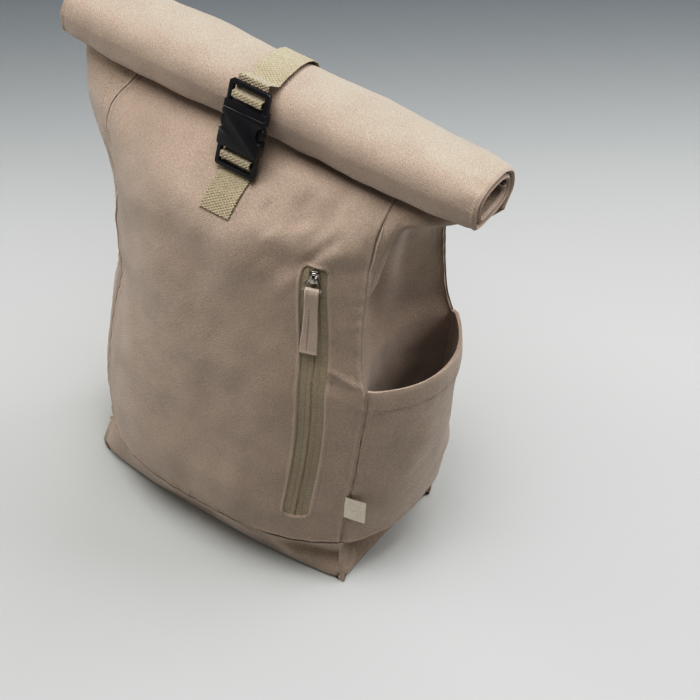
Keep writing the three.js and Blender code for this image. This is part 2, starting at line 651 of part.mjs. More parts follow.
// A flat band along a line, one thickness through its bends. widthAt gives its width at a share of
// the line; eased rounds its edges off, as on a padded strap.
function bandGeometry(line, across, widthAt, thickness, eased = false) {
  const EASE = 0.3;
  const profile = eased
    ? [[-1, EASE], [-1, -EASE], [-0.86, -1], [0.86, -1], [1, -EASE], [1, EASE], [0.86, 1], [-0.86, 1]]
    : [[-1, 1], [-1, -1], [1, -1], [1, 1]];
  const last = line.length - 1;
  const ways = line.slice(1).map((p, i) => p.clone().sub(line[i]).normalize());
  const rings = line.map((place, i) => {
    const before = ways[Math.max(i - 1, 0)];
    const after = ways[Math.min(i, last - 1)];
    const along = before.clone().add(after).normalize();
    const out = along.clone().cross(across).normalize().divideScalar(along.dot(before));
    const side = out.clone().cross(along).normalize();
    const width = widthAt(i / last);
    return profile.map(([u, v]) =>
      place.clone().addScaledVector(side, (u * width) / 2).addScaledVector(out, (v * thickness) / 2),
    );
  });
  const n = profile.length;
  const faces = [];
  for (let i = 0; i < last; i++) {
    for (let c = 0; c < n; c++) {
      const [a, b] = [i * n + c, i * n + ((c + 1) % n)];
      faces.push(a, b, b + n, a, b + n, a + n);
    }
  }
  for (let c = 1; c < n - 1; c++) {
    faces.push(0, c + 1, c);
    faces.push(last * n, last * n + c, last * n + c + 1);
  }
  return indexedGeometry(rings.flat(), faces);
}

const ACROSS_BAG = new THREE.Vector3(1, 0, 0);

// The buckle's own frame: u across it, v up it from its lower end, w out of its face.
function buckleMatrix() {
  const lean = radians(BUCKLE_LEAN);
  const up = new THREE.Vector3(0, Math.sin(lean), Math.cos(lean));
  const out = ACROSS_BAG.clone().cross(up);
  const foot = clothFrame("front", 0, NECK_HEIGHT - BUCKLE_DROP, BUCKLE_STAND).place;
  return new THREE.Matrix4().makeBasis(ACROSS_BAG, up, out).setPosition(foot);
}

function onBuckle(v, w) {
  return new THREE.Vector3(0, v, w).applyMatrix4(buckleMatrix());
}

const LADDER_LENGTH = 3 * LADDER_BAR + 2 * LADDER_SLOT;

// A plate with two slots and three bars, its first bar starting at v = 0.
function ladderSolid(width, webbing) {
  const CORNER = 3;
  const slotWidth = Math.min(webbing + 2, width - 2 * LADDER_RIM);
  const half = width / 2;
  const outline = new THREE.Shape();
  outline.moveTo(-half + CORNER, 0);
  outline.lineTo(half - CORNER, 0);
  outline.quadraticCurveTo(half, 0, half, CORNER);
  outline.lineTo(half, LADDER_LENGTH);
  outline.lineTo(-half, LADDER_LENGTH);
  outline.lineTo(-half, CORNER);
  outline.quadraticCurveTo(-half, 0, -half + CORNER, 0);
  for (const start of [LADDER_BAR, 2 * LADDER_BAR + LADDER_SLOT]) {
    const slot = new THREE.Path();
    slot.moveTo(-slotWidth / 2, start);
    slot.lineTo(slotWidth / 2, start);
    slot.lineTo(slotWidth / 2, start + LADDER_SLOT);
    slot.lineTo(-slotWidth / 2, start + LADDER_SLOT);
    outline.holes.push(slot);
  }
  const extrusion = { depth: LADDER_THICKNESS, bevelEnabled: false, curveSegments: 3 };
  const plate = new THREE.ExtrudeGeometry(outline, extrusion);
  return toSolid(plate.translate(0, 0, -LADDER_THICKNESS / 2));
}

const WINDOW_LENGTH = 15; // side window of the buckle's socket
const WINDOW_DEPTH = 5;
const socketStart = LADDER_LENGTH - LADDER_BAR;
const windowMiddle = socketStart + 0.62 * BUCKLE_SOCKET_LENGTH;
const PLUG_CLEAR = 0.4;
const plugStart = socketStart + BUCKLE_SOCKET_LENGTH + PLUG_CLEAR;
const plugTop = plugStart + LADDER_LENGTH;

// The socket half: a shallow box with a mouth at its top, a window in each side, and a ladder below.
function buckleSocket() {
  const WALL = 2;
  const CORNER = 3;
  const half = BUCKLE_WIDTH / 2;
  const outline = new THREE.Shape();
  outline.moveTo(-half + CORNER, 0);
  outline.lineTo(half - CORNER, 0);
  outline.quadraticCurveTo(half, 0, half, CORNER);
  outline.lineTo(half, BUCKLE_SOCKET_LENGTH);
  outline.lineTo(-half, BUCKLE_SOCKET_LENGTH);
  outline.lineTo(-half, CORNER);
  outline.quadraticCurveTo(-half, 0, -half + CORNER, 0);
  const BEVEL = 1.5;
  const shell = new THREE.ExtrudeGeometry(outline, {
    depth: BUCKLE_THICKNESS - 2 * BEVEL,
    bevelThickness: BEVEL,
    bevelSize: BEVEL,
    bevelOffset: -BEVEL,
    bevelSegments: 2,
    curveSegments: 3,
  }).translate(0, socketStart, -BUCKLE_THICKNESS / 2 + BEVEL);
  const cavityLength = BUCKLE_SOCKET_LENGTH - WALL;
  const cavity = boxGeometry(
    BUCKLE_WIDTH - 2 * WALL - 2,
    cavityLength + 2,
    BUCKLE_THICKNESS - 2 * WALL,
    0,
    socketStart + WALL + cavityLength / 2 + 1,
    0,
  );
  let solid = toSolid(shell).subtract(toSolid(cavity));
  for (const side of [-1, 1]) {
    const reach = WINDOW_LENGTH / 2;
    const window = new THREE.CylinderGeometry(reach, reach, BUCKLE_THICKNESS + 4, 14);
    window.rotateX(Math.PI / 2);
    window.scale((2 * WINDOW_DEPTH) / WINDOW_LENGTH, 1, 1);
    window.translate((side * BUCKLE_WIDTH) / 2, windowMiddle, 0);
    solid = solid.subtract(toSolid(window));
  }
  const ladder = ladderSolid(BUCKLE_WIDTH - 1, WEBBING_WIDTH);
  return toGeometry(solid.add(ladder)).applyMatrix4(buckleMatrix());
}

// The plug half: two sprung arms whose buttons fill the windows, a middle guide, and a ladder above.
function bucklePlug() {
  const WALL = 2;
  const mouth = plugStart;
  const armThickness = BUCKLE_THICKNESS - 2 * WALL - 2 * PLUG_CLEAR;
  const ladder = ladderSolid(BUCKLE_WIDTH - 1, WEBBING_WIDTH)
    .rotate([0, 0, 180])
    .translate([0, plugTop, 0]);
  const shoulder = toSolid(boxGeometry(BUCKLE_WIDTH - 1, 5, BUCKLE_THICKNESS - 2, 0, mouth + 2.5, 0));
  const GUIDE = 6;
  const guideLength = 22;
  let solid = ladder.add(shoulder);
  const guideMiddle = mouth + 1 - guideLength / 2;
  solid = solid.add(toSolid(boxGeometry(GUIDE, guideLength, armThickness, 0, guideMiddle, 0)));
  const ARM = 4;
  const armReach = mouth - windowMiddle + WINDOW_LENGTH / 2 - 1.5;
  for (const side of [-1, 1]) {
    const armX = side * (BUCKLE_WIDTH / 2 - WALL - 1 - PLUG_CLEAR - ARM / 2);
    solid = solid.add(toSolid(boxGeometry(ARM, armReach, armThickness, armX, mouth + 1 - armReach / 2, 0)));
    const reach = WINDOW_LENGTH / 2 - 2;
    const button = new THREE.CylinderGeometry(reach, reach, armThickness, 14);
    button.rotateX(Math.PI / 2);
    button.scale((2 * (WINDOW_DEPTH - 1)) / WINDOW_LENGTH, 1, 1);
    button.translate(side * (BUCKLE_WIDTH / 2 - 2.2), windowMiddle, 0);
    solid = solid.add(toSolid(button));
  }
  return toGeometry(solid).applyMatrix4(buckleMatrix());
}

const plyStep = WEBBING_THICKNESS + TOUCH_GAP; // between the middles of two plies that lie together
// webbing's middle off the middle of the ladder that it runs through
const barStand = LADDER_THICKNESS / 2 + TOUCH_GAP + WEBBING_THICKNESS / 2;
const slotStand = TOUCH_GAP + WEBBING_THICKNESS / 2; // webbing's middle off the edge of a bar
const lowMiddleBar = LADDER_BAR + LADDER_SLOT; // edges of the middle bar, from the first bar's free edge
const highMiddleBar = 2 * LADDER_BAR + LADDER_SLOT;
const BEND = 1.6; // inner bend of webbing round a bar

// The front tab of webbing: two plies sewn to the front panel, up behind the ladder and round its
// middle bar.
function closureTab() {
  const rises = [0, 6, 12];
  const BELOW_BUCKLE = -3;
  const sewnHeight = NECK_HEIGHT - TAB_DROP;
  const ply = (stand) => rises.map((rise) => clothFrame("front", 0, sewnHeight + rise, stand).place);
  const under = ply(LAID_CLEAR + WEBBING_THICKNESS / 2);
  const over = ply(LAID_CLEAR + WEBBING_THICKNESS / 2 + plyStep);
  const round = [
    onBuckle(BELOW_BUCKLE, -barStand - plyStep),
    onBuckle(highMiddleBar + slotStand, -barStand - plyStep),
    onBuckle(highMiddleBar + slotStand, barStand),
    onBuckle(lowMiddleBar - slotStand, barStand),
    onBuckle(lowMiddleBar - slotStand, -barStand),
    onBuckle(BELOW_BUCKLE, -barStand),
  ];
  const line = roundedLine([...under, ...round, ...over.reverse()], BEND);
  return bandGeometry(line, ACROSS_BAG, () => WEBBING_WIDTH, WEBBING_THICKNESS);
}

// The strap that comes over the roll from the back panel, down into the plug's ladder and round its
// middle bar.
function closureStrap() {
  const top = plugTop;
  const flip = (v) => top - v;
  const stand = LAID_CLEAR + WEBBING_THICKNESS / 2;
  const heights = [0.835, 0.87, 0.905, 0.94].map((share) => share * NECK_HEIGHT);
  const sewn = heights.map((height) => clothFrame("back", 0, height, stand).place);
  const a = ROLL_DEPTH / 2 + stand;
  const b = ROLL_RISE / 2 + stand;
  const overRoll = [-14, 8, 26, 42, 58, 76, 96, 112].map((degrees) => {
    const angle = radians(degrees);
    const [cosine, sine] = [Math.cos(angle), Math.sin(angle)];
    const along = a * Math.sign(cosine) * Math.abs(cosine) ** (2 / ROUND);
    const rise = b * Math.sign(sine) * Math.abs(sine) ** (2 / ROUND);
    const y = rollCentreY + along * Math.cos(ROLL_TILT) - rise * Math.sin(ROLL_TILT);
    const z = NECK_HEIGHT + ROLL_CENTRE_RISE + along * Math.sin(ROLL_TILT) + rise * Math.cos(ROLL_TILT);
    return new THREE.Vector3(0, y, z);
  });
  const round = [
    onBuckle(flip(-6), -barStand),
    onBuckle(flip(lowMiddleBar - slotStand), -barStand),
    onBuckle(flip(lowMiddleBar - slotStand), barStand),
    onBuckle(flip(highMiddleBar + slotStand), barStand),
    onBuckle(flip(highMiddleBar + slotStand), -barStand - plyStep),
    onBuckle(flip(lowMiddleBar), -barStand - plyStep),
  ];
  const line = roundedLine([...sewn, ...overRoll, ...round], BEND);
  return bandGeometry(line, ACROSS_BAG, () => WEBBING_WIDTH, WEBBING_THICKNESS);
}

const tapeStand = -(CLOTH + TOUCH_GAP + ZIP_TAPE_THICKNESS);
const coilStand = -(CLOTH + TOUCH_GAP) + TOUCH_GAP;
const SLIDER_DROP = 7; // the slider's middle below the window's upper end
const sliderHeight = zipTop - SLIDER_DROP;

function zipTape() {
  const OVERLAP = 5; // beyond each end of the window
  return zipStrip(ZIP_BOTTOM - OVERLAP, zipTop + OVERLAP, ZIP_TAPE_WIDTH, ZIP_TAPE_THICKNESS, tapeStand);
}

function zipCoil() {
  const END_GAP = 1;
  return zipStrip(ZIP_BOTTOM + END_GAP, zipTop - END_GAP, ZIP_COIL_WIDTH, ZIP_COIL_THICKNESS, coilStand);
}

function placeOnZip(geometry, z, stand) {
  const { place, across, out } = clothFrame("front", zipX(z), z, stand);
  const up = out.clone().cross(across).normalize();
  return geometry.applyMatrix4(new THREE.Matrix4().makeBasis(across, up, out).setPosition(place));
}

const SLIDER_THICKNESS = 2;
const SLIDER_TUNNEL = 2.4; // room under its bridge
const sliderStand = coilStand + ZIP_COIL_THICKNESS + TOUCH_GAP;
const pullStand = sliderStand + SLIDER_THICKNESS + SLIDER_TUNNEL / 2; // the pull loop's middle off the cloth
const loopTop = sliderHeight + PULL_LOOP.wire / 2;

// The slider: a waisted body over the coil, with a bridge that the pull loop passes under.
function zipSlider() {
  const BODY = { width: 9, length: 11 };
  const shape = new THREE.Shape();
  shape.moveTo(-BODY.width / 2, BODY.length / 2 - 2);
  shape.quadraticCurveTo(-BODY.width / 2, BODY.length / 2, -BODY.width / 4, BODY.length / 2);
  shape.lineTo(BODY.width / 4, BODY.length / 2);
  shape.quadraticCurveTo(BODY.width / 2, BODY.length / 2, BODY.width / 2, BODY.length / 2 - 2);
  shape.lineTo(BODY.width / 3, -BODY.length / 2);
  shape.lineTo(-BODY.width / 3, -BODY.length / 2);
  const extrusion = { depth: SLIDER_THICKNESS, bevelEnabled: false, curveSegments: 3 };
  const body = new THREE.ExtrudeGeometry(shape, extrusion);
  const BRIDGE = { width: 2.6, length: 8.4, leg: 1.6 };
  const bridgeRise = SLIDER_TUNNEL + BRIDGE.leg;
  const SUNK = 0.2; // the bridge's feet in the body
  const middle = SLIDER_THICKNESS + (bridgeRise - SUNK) / 2;
  const block = toSolid(boxGeometry(BRIDGE.width, BRIDGE.length, bridgeRise + SUNK, 0, 0, middle));
  const tunnelLength = BRIDGE.length - 2 * BRIDGE.leg;
  const tunnelMiddle = SLIDER_THICKNESS + SLIDER_TUNNEL / 2;
  const tunnel = toSolid(boxGeometry(BRIDGE.width + 2, tunnelLength, SLIDER_TUNNEL, 0, 0, tunnelMiddle));
  const bridge = block.subtract(tunnel);
  return placeOnZip(toGeometry(toSolid(body).add(bridge)), sliderHeight, sliderStand);
}

// The wire loop of the zip pull: its narrow end passes through the slider's bridge, its wide end
// carries the tab.
function pullLoop() {
  const { top, bottom, length, wire } = PULL_LOOP;
  const outline = new THREE.Shape();
  const frame = (path, inset) => {
    path.moveTo(-bottom + inset, -length + inset);
    path.lineTo(bottom - inset, -length + inset);
    path.lineTo(bottom - inset, -0.7 * length);
    path.lineTo(top - inset, -inset);
    path.lineTo(-top + inset, -inset);
    path.lineTo(-bottom + inset, -0.7 * length);
  };
  frame(outline, 0);
  const hole = new THREE.Path();
  frame(hole, wire);
  outline.holes.push(hole);
  const loop = new THREE.ExtrudeGeometry(outline, { depth: wire, bevelEnabled: false });
  return placeOnZip(loop.translate(0, 0, -wire / 2), loopTop, pullStand);
}

// The cloth tab of the zip pull, folded through the ring: a short ply behind and a long one in front.
function pullTab() {
  const ply = PULL_TAB_THICKNESS / 2;
  const drop = PULL_LOOP.length - PULL_LOOP.wire / 2;
  const off = PULL_LOOP.wire / 2 + TOUCH_GAP + ply / 2;
  const { place, across, out } = clothFrame("front", zipX(loopTop), loopTop, pullStand);
  const up = out.clone().cross(across).normalize();
  place.addScaledVector(up, -drop);
  const at = (rise, stand) => place.clone().addScaledVector(up, rise).addScaledVector(out, stand);
  const hanging = [0.3, 0.65, 1].map((share) => {
    const z = loopTop - drop - share * PULL_TAB_LENGTH;
    return clothFrame("front", zipX(z), z, 2.2).place;
  });
  const line = roundedLine([at(-12, -off + 0.2), at(off, -off), at(off, off), at(-3, off), ...hanging], 1);
  const width = (share) => lerp(PULL_TAB_NECK, PULL_TAB_WIDTH, THREE.MathUtils.smoothstep(share, 0.5, 0.9));
  return bandGeometry(line, across, width, ply);
}

// The blank label, sewn into the right front seam and standing out of it.
function sideLabel() {
  const SEWN = 1.5; // how much of it lies on the front panel
  const TURN = radians(14);
  const middle = LABEL_BOTTOM + LABEL_HEIGHT / 2;
  const seam = sectionAt(middle).right * HALF_WIDTH;
  const edge = onPanel("front", new THREE.Vector3(seam - SEWN, 0, middle));
  const size = [LABEL_WIDTH, LABEL_THICKNESS, LABEL_HEIGHT];
  const label = boxGeometry(...size, LABEL_WIDTH / 2, -LABEL_THICKNESS / 2, 0);
  return label.rotateZ(TURN).translate(edge.x, edge.y - TOUCH_GAP, middle);
}

// The quilted pad over the back panel.
function backPad() {
  const ROWS = 8;
  const COLUMNS = 8;
  const EDGE = 0.35; // share of the full thickness left at the sewn edge
  const layer = (outside) =>
    Array.from({ length: ROWS + 1 }, (_, r) => {
      const z = lerp(PAD_BOTTOM, NECK_HEIGHT - PAD_DROP, r / ROWS);
      return Array.from({ length: COLUMNS + 1 }, (_, c) => {
        const s = 1 - (2 * c) / COLUMNS;
        const point = onPanel("back", new THREE.Vector3((s * PAD_WIDTH) / 2, 0, z));
        const crown = Math.min(1, 4 * arch(s, 2)) * Math.min(1, 4 * arch((2 * r) / ROWS - 1, 2));
        point.y += LAID_CLEAR + (outside ? PAD_THICKNESS * lerp(EDGE, 1, crown) : 0);
        return point;
      });
    });
  return wallGeometry(layer(true), layer(false));
}

// One shoulder strap's line, from the top of the back to the end of its padding: how far out to the
// side, how far off the back and how high, as a share of NECK_HEIGHT.
const SHOULDER_LINE = [
  { out: 0, off: 0, height: 0.835 },
  { out: 0, off: 1, height: 0.848 },
  { out: 1, off: 9, height: 0.868 },
  { out: 2, off: 21, height: 0.856 },
  { out: 7, off: 31, height: 0.8 },
  { out: 13, off: 33, height: 0.7 },
  { out: 18, off: 31, height: 0.56 },
  { out: 21, off: 28, height: 0.42 },
  { out: 23, off: 25, height: 0.3 },
];

function shoulderLine(side) {
  const clear = SHOULDER_THICKNESS / 2 + LAID_CLEAR;
  return SHOULDER_LINE.map(({ out, off, height }) => {
    const point = onPanel("back", new THREE.Vector3(side * SHOULDER_SPREAD, 0, height * NECK_HEIGHT));
    point.x += side * out;
    point.y += clear + off;
    return point;
  });
}

function shoulderStrap(side) {
  const width = (share) => SHOULDER_WIDTH * (1 - 0.3 * THREE.MathUtils.smoothstep(share, 0.55, 1));
  return bandGeometry(smoothLine(shoulderLine(side), 20), ACROSS_BAG, width, SHOULDER_THICKNESS, true);
}

// A ladder lock hangs below each padded strap; its lower end, upright.
function adjusterFoot(side) {
  const DROP = 14;
  return shoulderLine(side).at(-1).add(new THREE.Vector3(0, 0, -LADDER_LENGTH - DROP));
}

// Points in the plane of a ladder lock: rise up it and off its middle, with x further out to the side.
function byAdjuster(side) {
  const foot = adjusterFoot(side);
  return (rise, off, x = 0) => new THREE.Vector3(foot.x + side * x, foot.y + off, foot.z + rise);
}

function strapAdjuster(side) {
  const ladder = ladderSolid(STRAP_WEBBING_WIDTH + 2 * LADDER_RIM + 2, STRAP_WEBBING_WIDTH);
  return toGeometry(ladder).rotateX(Math.PI / 2).translate(...adjusterFoot(side).toArray());
}

// The short loop of webbing that ties each ladder lock to the inside of its padded strap.
function adjusterLoop(side) {
  const at = byAdjuster(side);
  const end = shoulderLine(side).at(-1);
  const lift = end.z - adjusterFoot(side).z;
  const inside = -SHOULDER_THICKNESS / 2 - LAID_CLEAR - WEBBING_THICKNESS / 2 - plyStep;
  const highSlot = LADDER_LENGTH - LADDER_BAR - slotStand;
  const points = [
    at(lift + 26, inside - 2),
    at(lift - 2, inside),
    at(highSlot, -barStand),
    at(highSlot, barStand),
    at(LADDER_LENGTH + slotStand, barStand),
    at(LADDER_LENGTH + slotStand, -barStand + 1.2),
    at(lift - 2.4, inside + plyStep + 0.5),
  ];
  return bandGeometry(roundedLine(points, BEND), ACROSS_BAG, () => STRAP_WEBBING_WIDTH, WEBBING_THICKNESS);
}

// The lower webbing: from the base corner up through the ladder lock, round its middle bar, and the
// tail hanging free.
function strapWebbing(side) {
  const at = byAdjuster(side);
  const anchorX = 0.63 * HALF_WIDTH;
  const anchorZ = BAND_HEIGHT + 7;
  const sewn = [0, 9].map((rise) => {
    const point = onPanel("back", new THREE.Vector3(side * anchorX, 0, anchorZ + rise));
    point.y += LAID_CLEAR + WEBBING_THICKNESS / 2;
    return point;
  });
  const rising = sewn[1].clone().add(new THREE.Vector3(-side * 2, PAD_THICKNESS + 6, 12));
  const points = [
    ...sewn,
    rising,
    at(-6, -barStand - 1.4),
    at(lowMiddleBar - slotStand, -barStand),
    at(lowMiddleBar - slotStand, barStand),
    at(-1, barStand + 0.2),
    at(-20, barStand + 3),
    at(-46, barStand + 1),
  ];
  return bandGeometry(roundedLine(points, BEND), ACROSS_BAG, () => STRAP_WEBBING_WIDTH, WEBBING_THICKNESS);
}

// The grab handle: a strip of webbing that bows out from the back between its two sewn ends.
function grabHandle() {
  const z = NECK_HEIGHT - HANDLE_DROP;
  const half = HANDLE_SPAN / 2;
  const spots = [[-1, 0], [-0.8, 0], [-0.45, 0.72], [0, 1], [0.45, 0.72], [0.8, 0], [1, 0]];
  const points = spots.map(([share, bow]) => {
    const point = onPanel("back", new THREE.Vector3(share * half, 0, z - HANDLE_WIDTH / 2));
    const out = LAID_CLEAR + WEBBING_THICKNESS / 2 + bow * HANDLE_BOW;
    return point.add(new THREE.Vector3(0, out, HANDLE_WIDTH / 2));
  });
  const upright = new THREE.Vector3(0, 0, 1);
  return bandGeometry(roundedLine(points, 14, 4), upright, () => HANDLE_WIDTH, WEBBING_THICKNESS);
}

const MATERIALS = {
  canvas: new THREE.MeshStandardMaterial({ color: "#b9a592", roughness: 0.95 }),
  webbing: new THREE.MeshStandardMaterial({ color: "#c9bb93", roughness: 0.9 }),
  zipTape: new THREE.MeshStandardMaterial({ color: "#8d846c", roughness: 0.9 }),
  label: new THREE.MeshStandardMaterial({ color: "#ded6c6", roughness: 0.85 }),
  blackPlastic: new THREE.MeshStandardMaterial({ color: "#17171a", roughness: 0.4 }),
  metal: new THREE.MeshStandardMaterial({ color: "#5a5552", roughness: 0.25, metalness: 1 }),
};

const backpack = new THREE.Group();

function addPiece(name, geometry, material) {
  const mesh = new THREE.Mesh(geometry, MATERIALS[material]);
  mesh.name = name;
  backpack.add(mesh);
}

addPiece("base_panel", basePanel(), "canvas");
addPiece("front_panel", frontPanel(), "canvas");
addPiece("side_panel_right", panelGeometry("right"), "canvas");
addPiece("back_panel", panelGeometry("back"), "canvas");
addPiece("side_panel_left", panelGeometry("left"), "canvas");
addPiece("roll_top", rollTop(), "canvas");
addPiece("bottle_pocket_right", bottlePocket("right", POCKET_BOW_RIGHT), "canvas");
addPiece("bottle_pocket_left", bottlePocket("left", POCKET_BOW_LEFT), "canvas");
addPiece("zip_tape", zipTape(), "zipTape");
addPiece("zip_coil", zipCoil(), "zipTape");
addPiece("zip_slider", zipSlider(), "metal");
addPiece("zip_pull_loop", pullLoop(), "metal");
addPiece("zip_pull_tab", pullTab(), "canvas");
addPiece("closure_tab", closureTab(), "webbing");
addPiece("buckle_socket", buckleSocket(), "blackPlastic");
addPiece("buckle_plug", bucklePlug(), "blackPlastic");
addPiece("closure_strap", closureStrap(), "webbing");
addPiece("side_label", sideLabel(), "label");
addPiece("back_pad", backPad(), "canvas");
addPiece("grab_handle", grabHandle(), "webbing");
for (const [side, word] of [[1, "right"], [-1, "left"]]) {
  addPiece(`shoulder_strap_${word}`, shoulderStrap(side), "canvas");
  addPiece(`strap_adjuster_${word}`, strapAdjuster(side), "blackPlastic");
  addPiece(`adjuster_loop_${word}`, adjusterLoop(side), "webbing");
  addPiece(`strap_webbing_${word}`, strapWebbing(side), "webbing");
}

export default backpack;
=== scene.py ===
"""A sand-coloured canvas rolltop backpack on a pale studio floor.

Shapes are worked out in millimetres from the same tables as the solids, sampled finely enough to
carry seams, puckers and folds, and made into meshes in metres.
"""

import math

import bpy
import numpy as np
from mathutils import Matrix, Vector


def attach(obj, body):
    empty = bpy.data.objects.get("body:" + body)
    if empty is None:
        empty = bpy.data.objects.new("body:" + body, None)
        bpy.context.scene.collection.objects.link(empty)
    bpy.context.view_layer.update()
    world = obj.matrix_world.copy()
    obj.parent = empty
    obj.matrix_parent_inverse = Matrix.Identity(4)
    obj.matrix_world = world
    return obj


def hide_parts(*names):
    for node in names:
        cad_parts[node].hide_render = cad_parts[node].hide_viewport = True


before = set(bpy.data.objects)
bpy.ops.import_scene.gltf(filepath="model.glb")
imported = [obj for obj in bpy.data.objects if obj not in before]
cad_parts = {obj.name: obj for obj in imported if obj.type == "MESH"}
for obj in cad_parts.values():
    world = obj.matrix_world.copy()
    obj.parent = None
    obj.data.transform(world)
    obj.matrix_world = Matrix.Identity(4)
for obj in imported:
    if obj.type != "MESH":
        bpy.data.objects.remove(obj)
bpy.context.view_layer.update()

MM = 0.001

# Sizes of the bag and its roll, as in their solids
BAG_WIDTH = 280
BAG_DEPTH = 145
NECK_HEIGHT = 424
BAND_HEIGHT = 46
CLOTH = 2
SEAM_GAP = 0.6
TOUCH_GAP = 0.3
LAID_CLEAR = 0.8
PLY_GAP = 2
NECK_SETBACK = 15
ROLL_LENGTH = 424
ROLL_DEPTH = 76
ROLL_RISE = 56
ROLL_TURNS = 2.1
ROLL_CENTRE_RISE = 26
ROLL_CENTRE_Y = NECK_SETBACK - 21
POCKET_HEIGHT = 190
POCKET_BOW = {"right": 35, "left": 28}

# The zip, its slider and the cloth pull
ZIP_WINDOW_WIDTH = 20
WINDOW_CORNER = 5
ZIP_BOTTOM = 80
ZIP_TOP = ZIP_BOTTOM + 278
ZIP_INSET = 42
ZIP_LEAN = 1
ZIP_SWAY = 7
ZIP_SWAY_SPAN = 0.78
ZIP_TAPE_WIDTH = 29
SLIDER_DROP = 7
SLIDER_THICKNESS = 2
SLIDER_TUNNEL = 2.4
COIL_PITCH = 1.9
COIL_WIRE = 1.0
COIL_THICKNESS = 1.4
LOOP_WIRE = 1.5
LOOP_LENGTH = 13
PULL_LENGTH = 66
PULL_WIDTH = 15
PULL_NECK = 12
PULL_SLANT = 4.5

# Webbing, the ladders that it runs through, and the buckle
WEBBING_WIDTH = 30
WEBBING_THICKNESS = 1.6
STRAP_WEBBING_WIDTH = 25
WEBBING_RIB = 2.1
WEBBING_CORD = 1.3
WEBBING_LANE = 5.2
TAB_DROP = 47
LADDER_BAR = 3.6
LADDER_SLOT = 6
LADDER_THICKNESS = 4
LADDER_LENGTH = 3 * LADDER_BAR + 2 * LADDER_SLOT
BUCKLE_SOCKET_LENGTH = 36
BUCKLE_DROP = 25
BUCKLE_STAND = 7
BUCKLE_LEAN = math.radians(15)
PLUG_CLEAR = 0.4

# The back: pad, shoulder straps and grab handle
PAD_WIDTH = 200
PAD_BOTTOM = 74
PAD_TOP = NECK_HEIGHT - 84
PAD_THICKNESS = 9
PAD_CORNER = 22
CHANNEL_DEPTH = 3.2
CHANNELS = (0.25, 0.5, 0.75)
SHOULDER_WIDTH = 62
SHOULDER_THICKNESS = 11
SHOULDER_SPREAD = 54
ADJUSTER_DROP = 14
STRAP_ANCHOR = 0.63
ANCHOR_RISE = 7
STRAP_TAIL = 46
HANDLE_SPAN = 120
HANDLE_BOW = 22
HANDLE_DROP = 36

# The side tape
LABEL_WIDTH = 20
LABEL_HEIGHT = 26
LABEL_THICKNESS = 1
LABEL_BOTTOM = 82

# Worked out from the sizes above
HALF_WIDTH = BAG_WIDTH / 2
HALF_DEPTH = BAG_DEPTH / 2
BODY_BOTTOM = BAND_HEIGHT + SEAM_GAP / 2
WINDOW_HEIGHT = ZIP_TOP - ZIP_BOTTOM
WINDOW_MIDDLE = (ZIP_TOP + ZIP_BOTTOM) / 2

# Rows of stitches, in from the edge that each one follows
SEAM_STITCH_INSET = 5.5
WINDOW_STITCH_INSET = 3.6
TAPE_STITCH_PLACE = 4.4
HEM_STITCH_DROP = 22
POCKET_FOOT_STITCH = 5
ROLL_END_INSET = 5
PAD_STITCH_INSET = 5
STRAP_STITCH_INSET = 4.5

# The bag's outline at each share of its height, as in its solids
SECTION_COLUMNS = [
    "height", "left", "right", "front", "back", "belly", "bow_left",
    "bow_right", "bow_back", "power", "power_left", "power_right", "crease",
]
SECTIONS = [
    [0.0, 1.0, 1.0, -1.0, 1.0, 0.065, 0.0, -0.02, 0.0, 2.6, 2, 2, 0],
    [0.035, 0.98, 0.98, -0.99, 1.0, 0.12, 0.01, -0.07, 0.01, 2.8, 2, 2, 0],
    [0.11, 0.92, 0.945, -0.97, 0.99, 0.25, 0.04, 0.1, 0.015, 3.2, 2, 2, 0],
    [0.21, 0.95, 0.965, -0.96, 0.99, 0.29, 0.07, -0.02, 0.02, 3.0, 2, 2, 0],
    [0.32, 0.945, 0.995, -0.93, 0.99, 0.305, 0.09, -0.1, 0.02, 2.8, 2.1, 2.1, 0],
    [0.44, 0.91, 1.015, -0.9, 0.98, 0.31, 0.1, -0.15, 0.02, 2.7, 2.2, 2.2, 0.05],
    [0.54, 0.86, 1.03, -0.88, 0.97, 0.315, 0.11, -0.17, 0.02, 2.6, 2.1, 2.2, 0.12],
    [0.6, 0.895, 0.975, -0.855, 0.95, 0.32, 0.12, -0.17, 0.018, 2.6, 2, 2.2, 0.2],
    [0.68, 0.93, 0.95, -0.82, 0.91, 0.32, 0.18, -0.16, 0.015, 2.5, 1.7, 2.1, 0.3],
    [0.76, 0.91, 0.945, -0.79, 0.86, 0.32, 0.29, -0.14, 0.01, 2.4, 1.5, 2, 0.36],
    [0.83, 0.975, 0.945, -0.77, 0.8, 0.3, 0.33, -0.08, 0.0, 2.3, 1.4, 1.7, 0.38],
    [0.885, 1.03, 0.945, -0.72, 0.73, 0.265, 0.345, 0.01, 0.0, 2.2, 1.4, 1.4, 0.34],
    [0.925, 1.035, 0.945, -0.64, 0.64, 0.18, 0.385, 0.16, 0.0, 2.1, 1.5, 1.3, 0.22],
    [0.955, 1.0, 0.945, -0.5, 0.54, 0.09, 0.455, 0.34, 0.0, 2.1, 1.7, 1.5, 0.1],
    [0.977, 0.965, 0.945, -0.31, 0.42, 0.035, 0.5, 0.46, 0.0, 2, 2.4, 2.2, 0.03],
]
NECK_SHARE = 0.943
NECK_BOW = (ROLL_LENGTH / 2 - NECK_SHARE * HALF_WIDTH) / BAG_DEPTH
NECK_PLY = CLOTH + PLY_GAP / 2
SECTIONS.append([
    1, NECK_SHARE, NECK_SHARE, (NECK_SETBACK - NECK_PLY) / HALF_DEPTH,
    (NECK_SETBACK + NECK_PLY) / HALF_DEPTH, 0, NECK_BOW, NECK_BOW, 0, 2, 7, 7, 0,
])
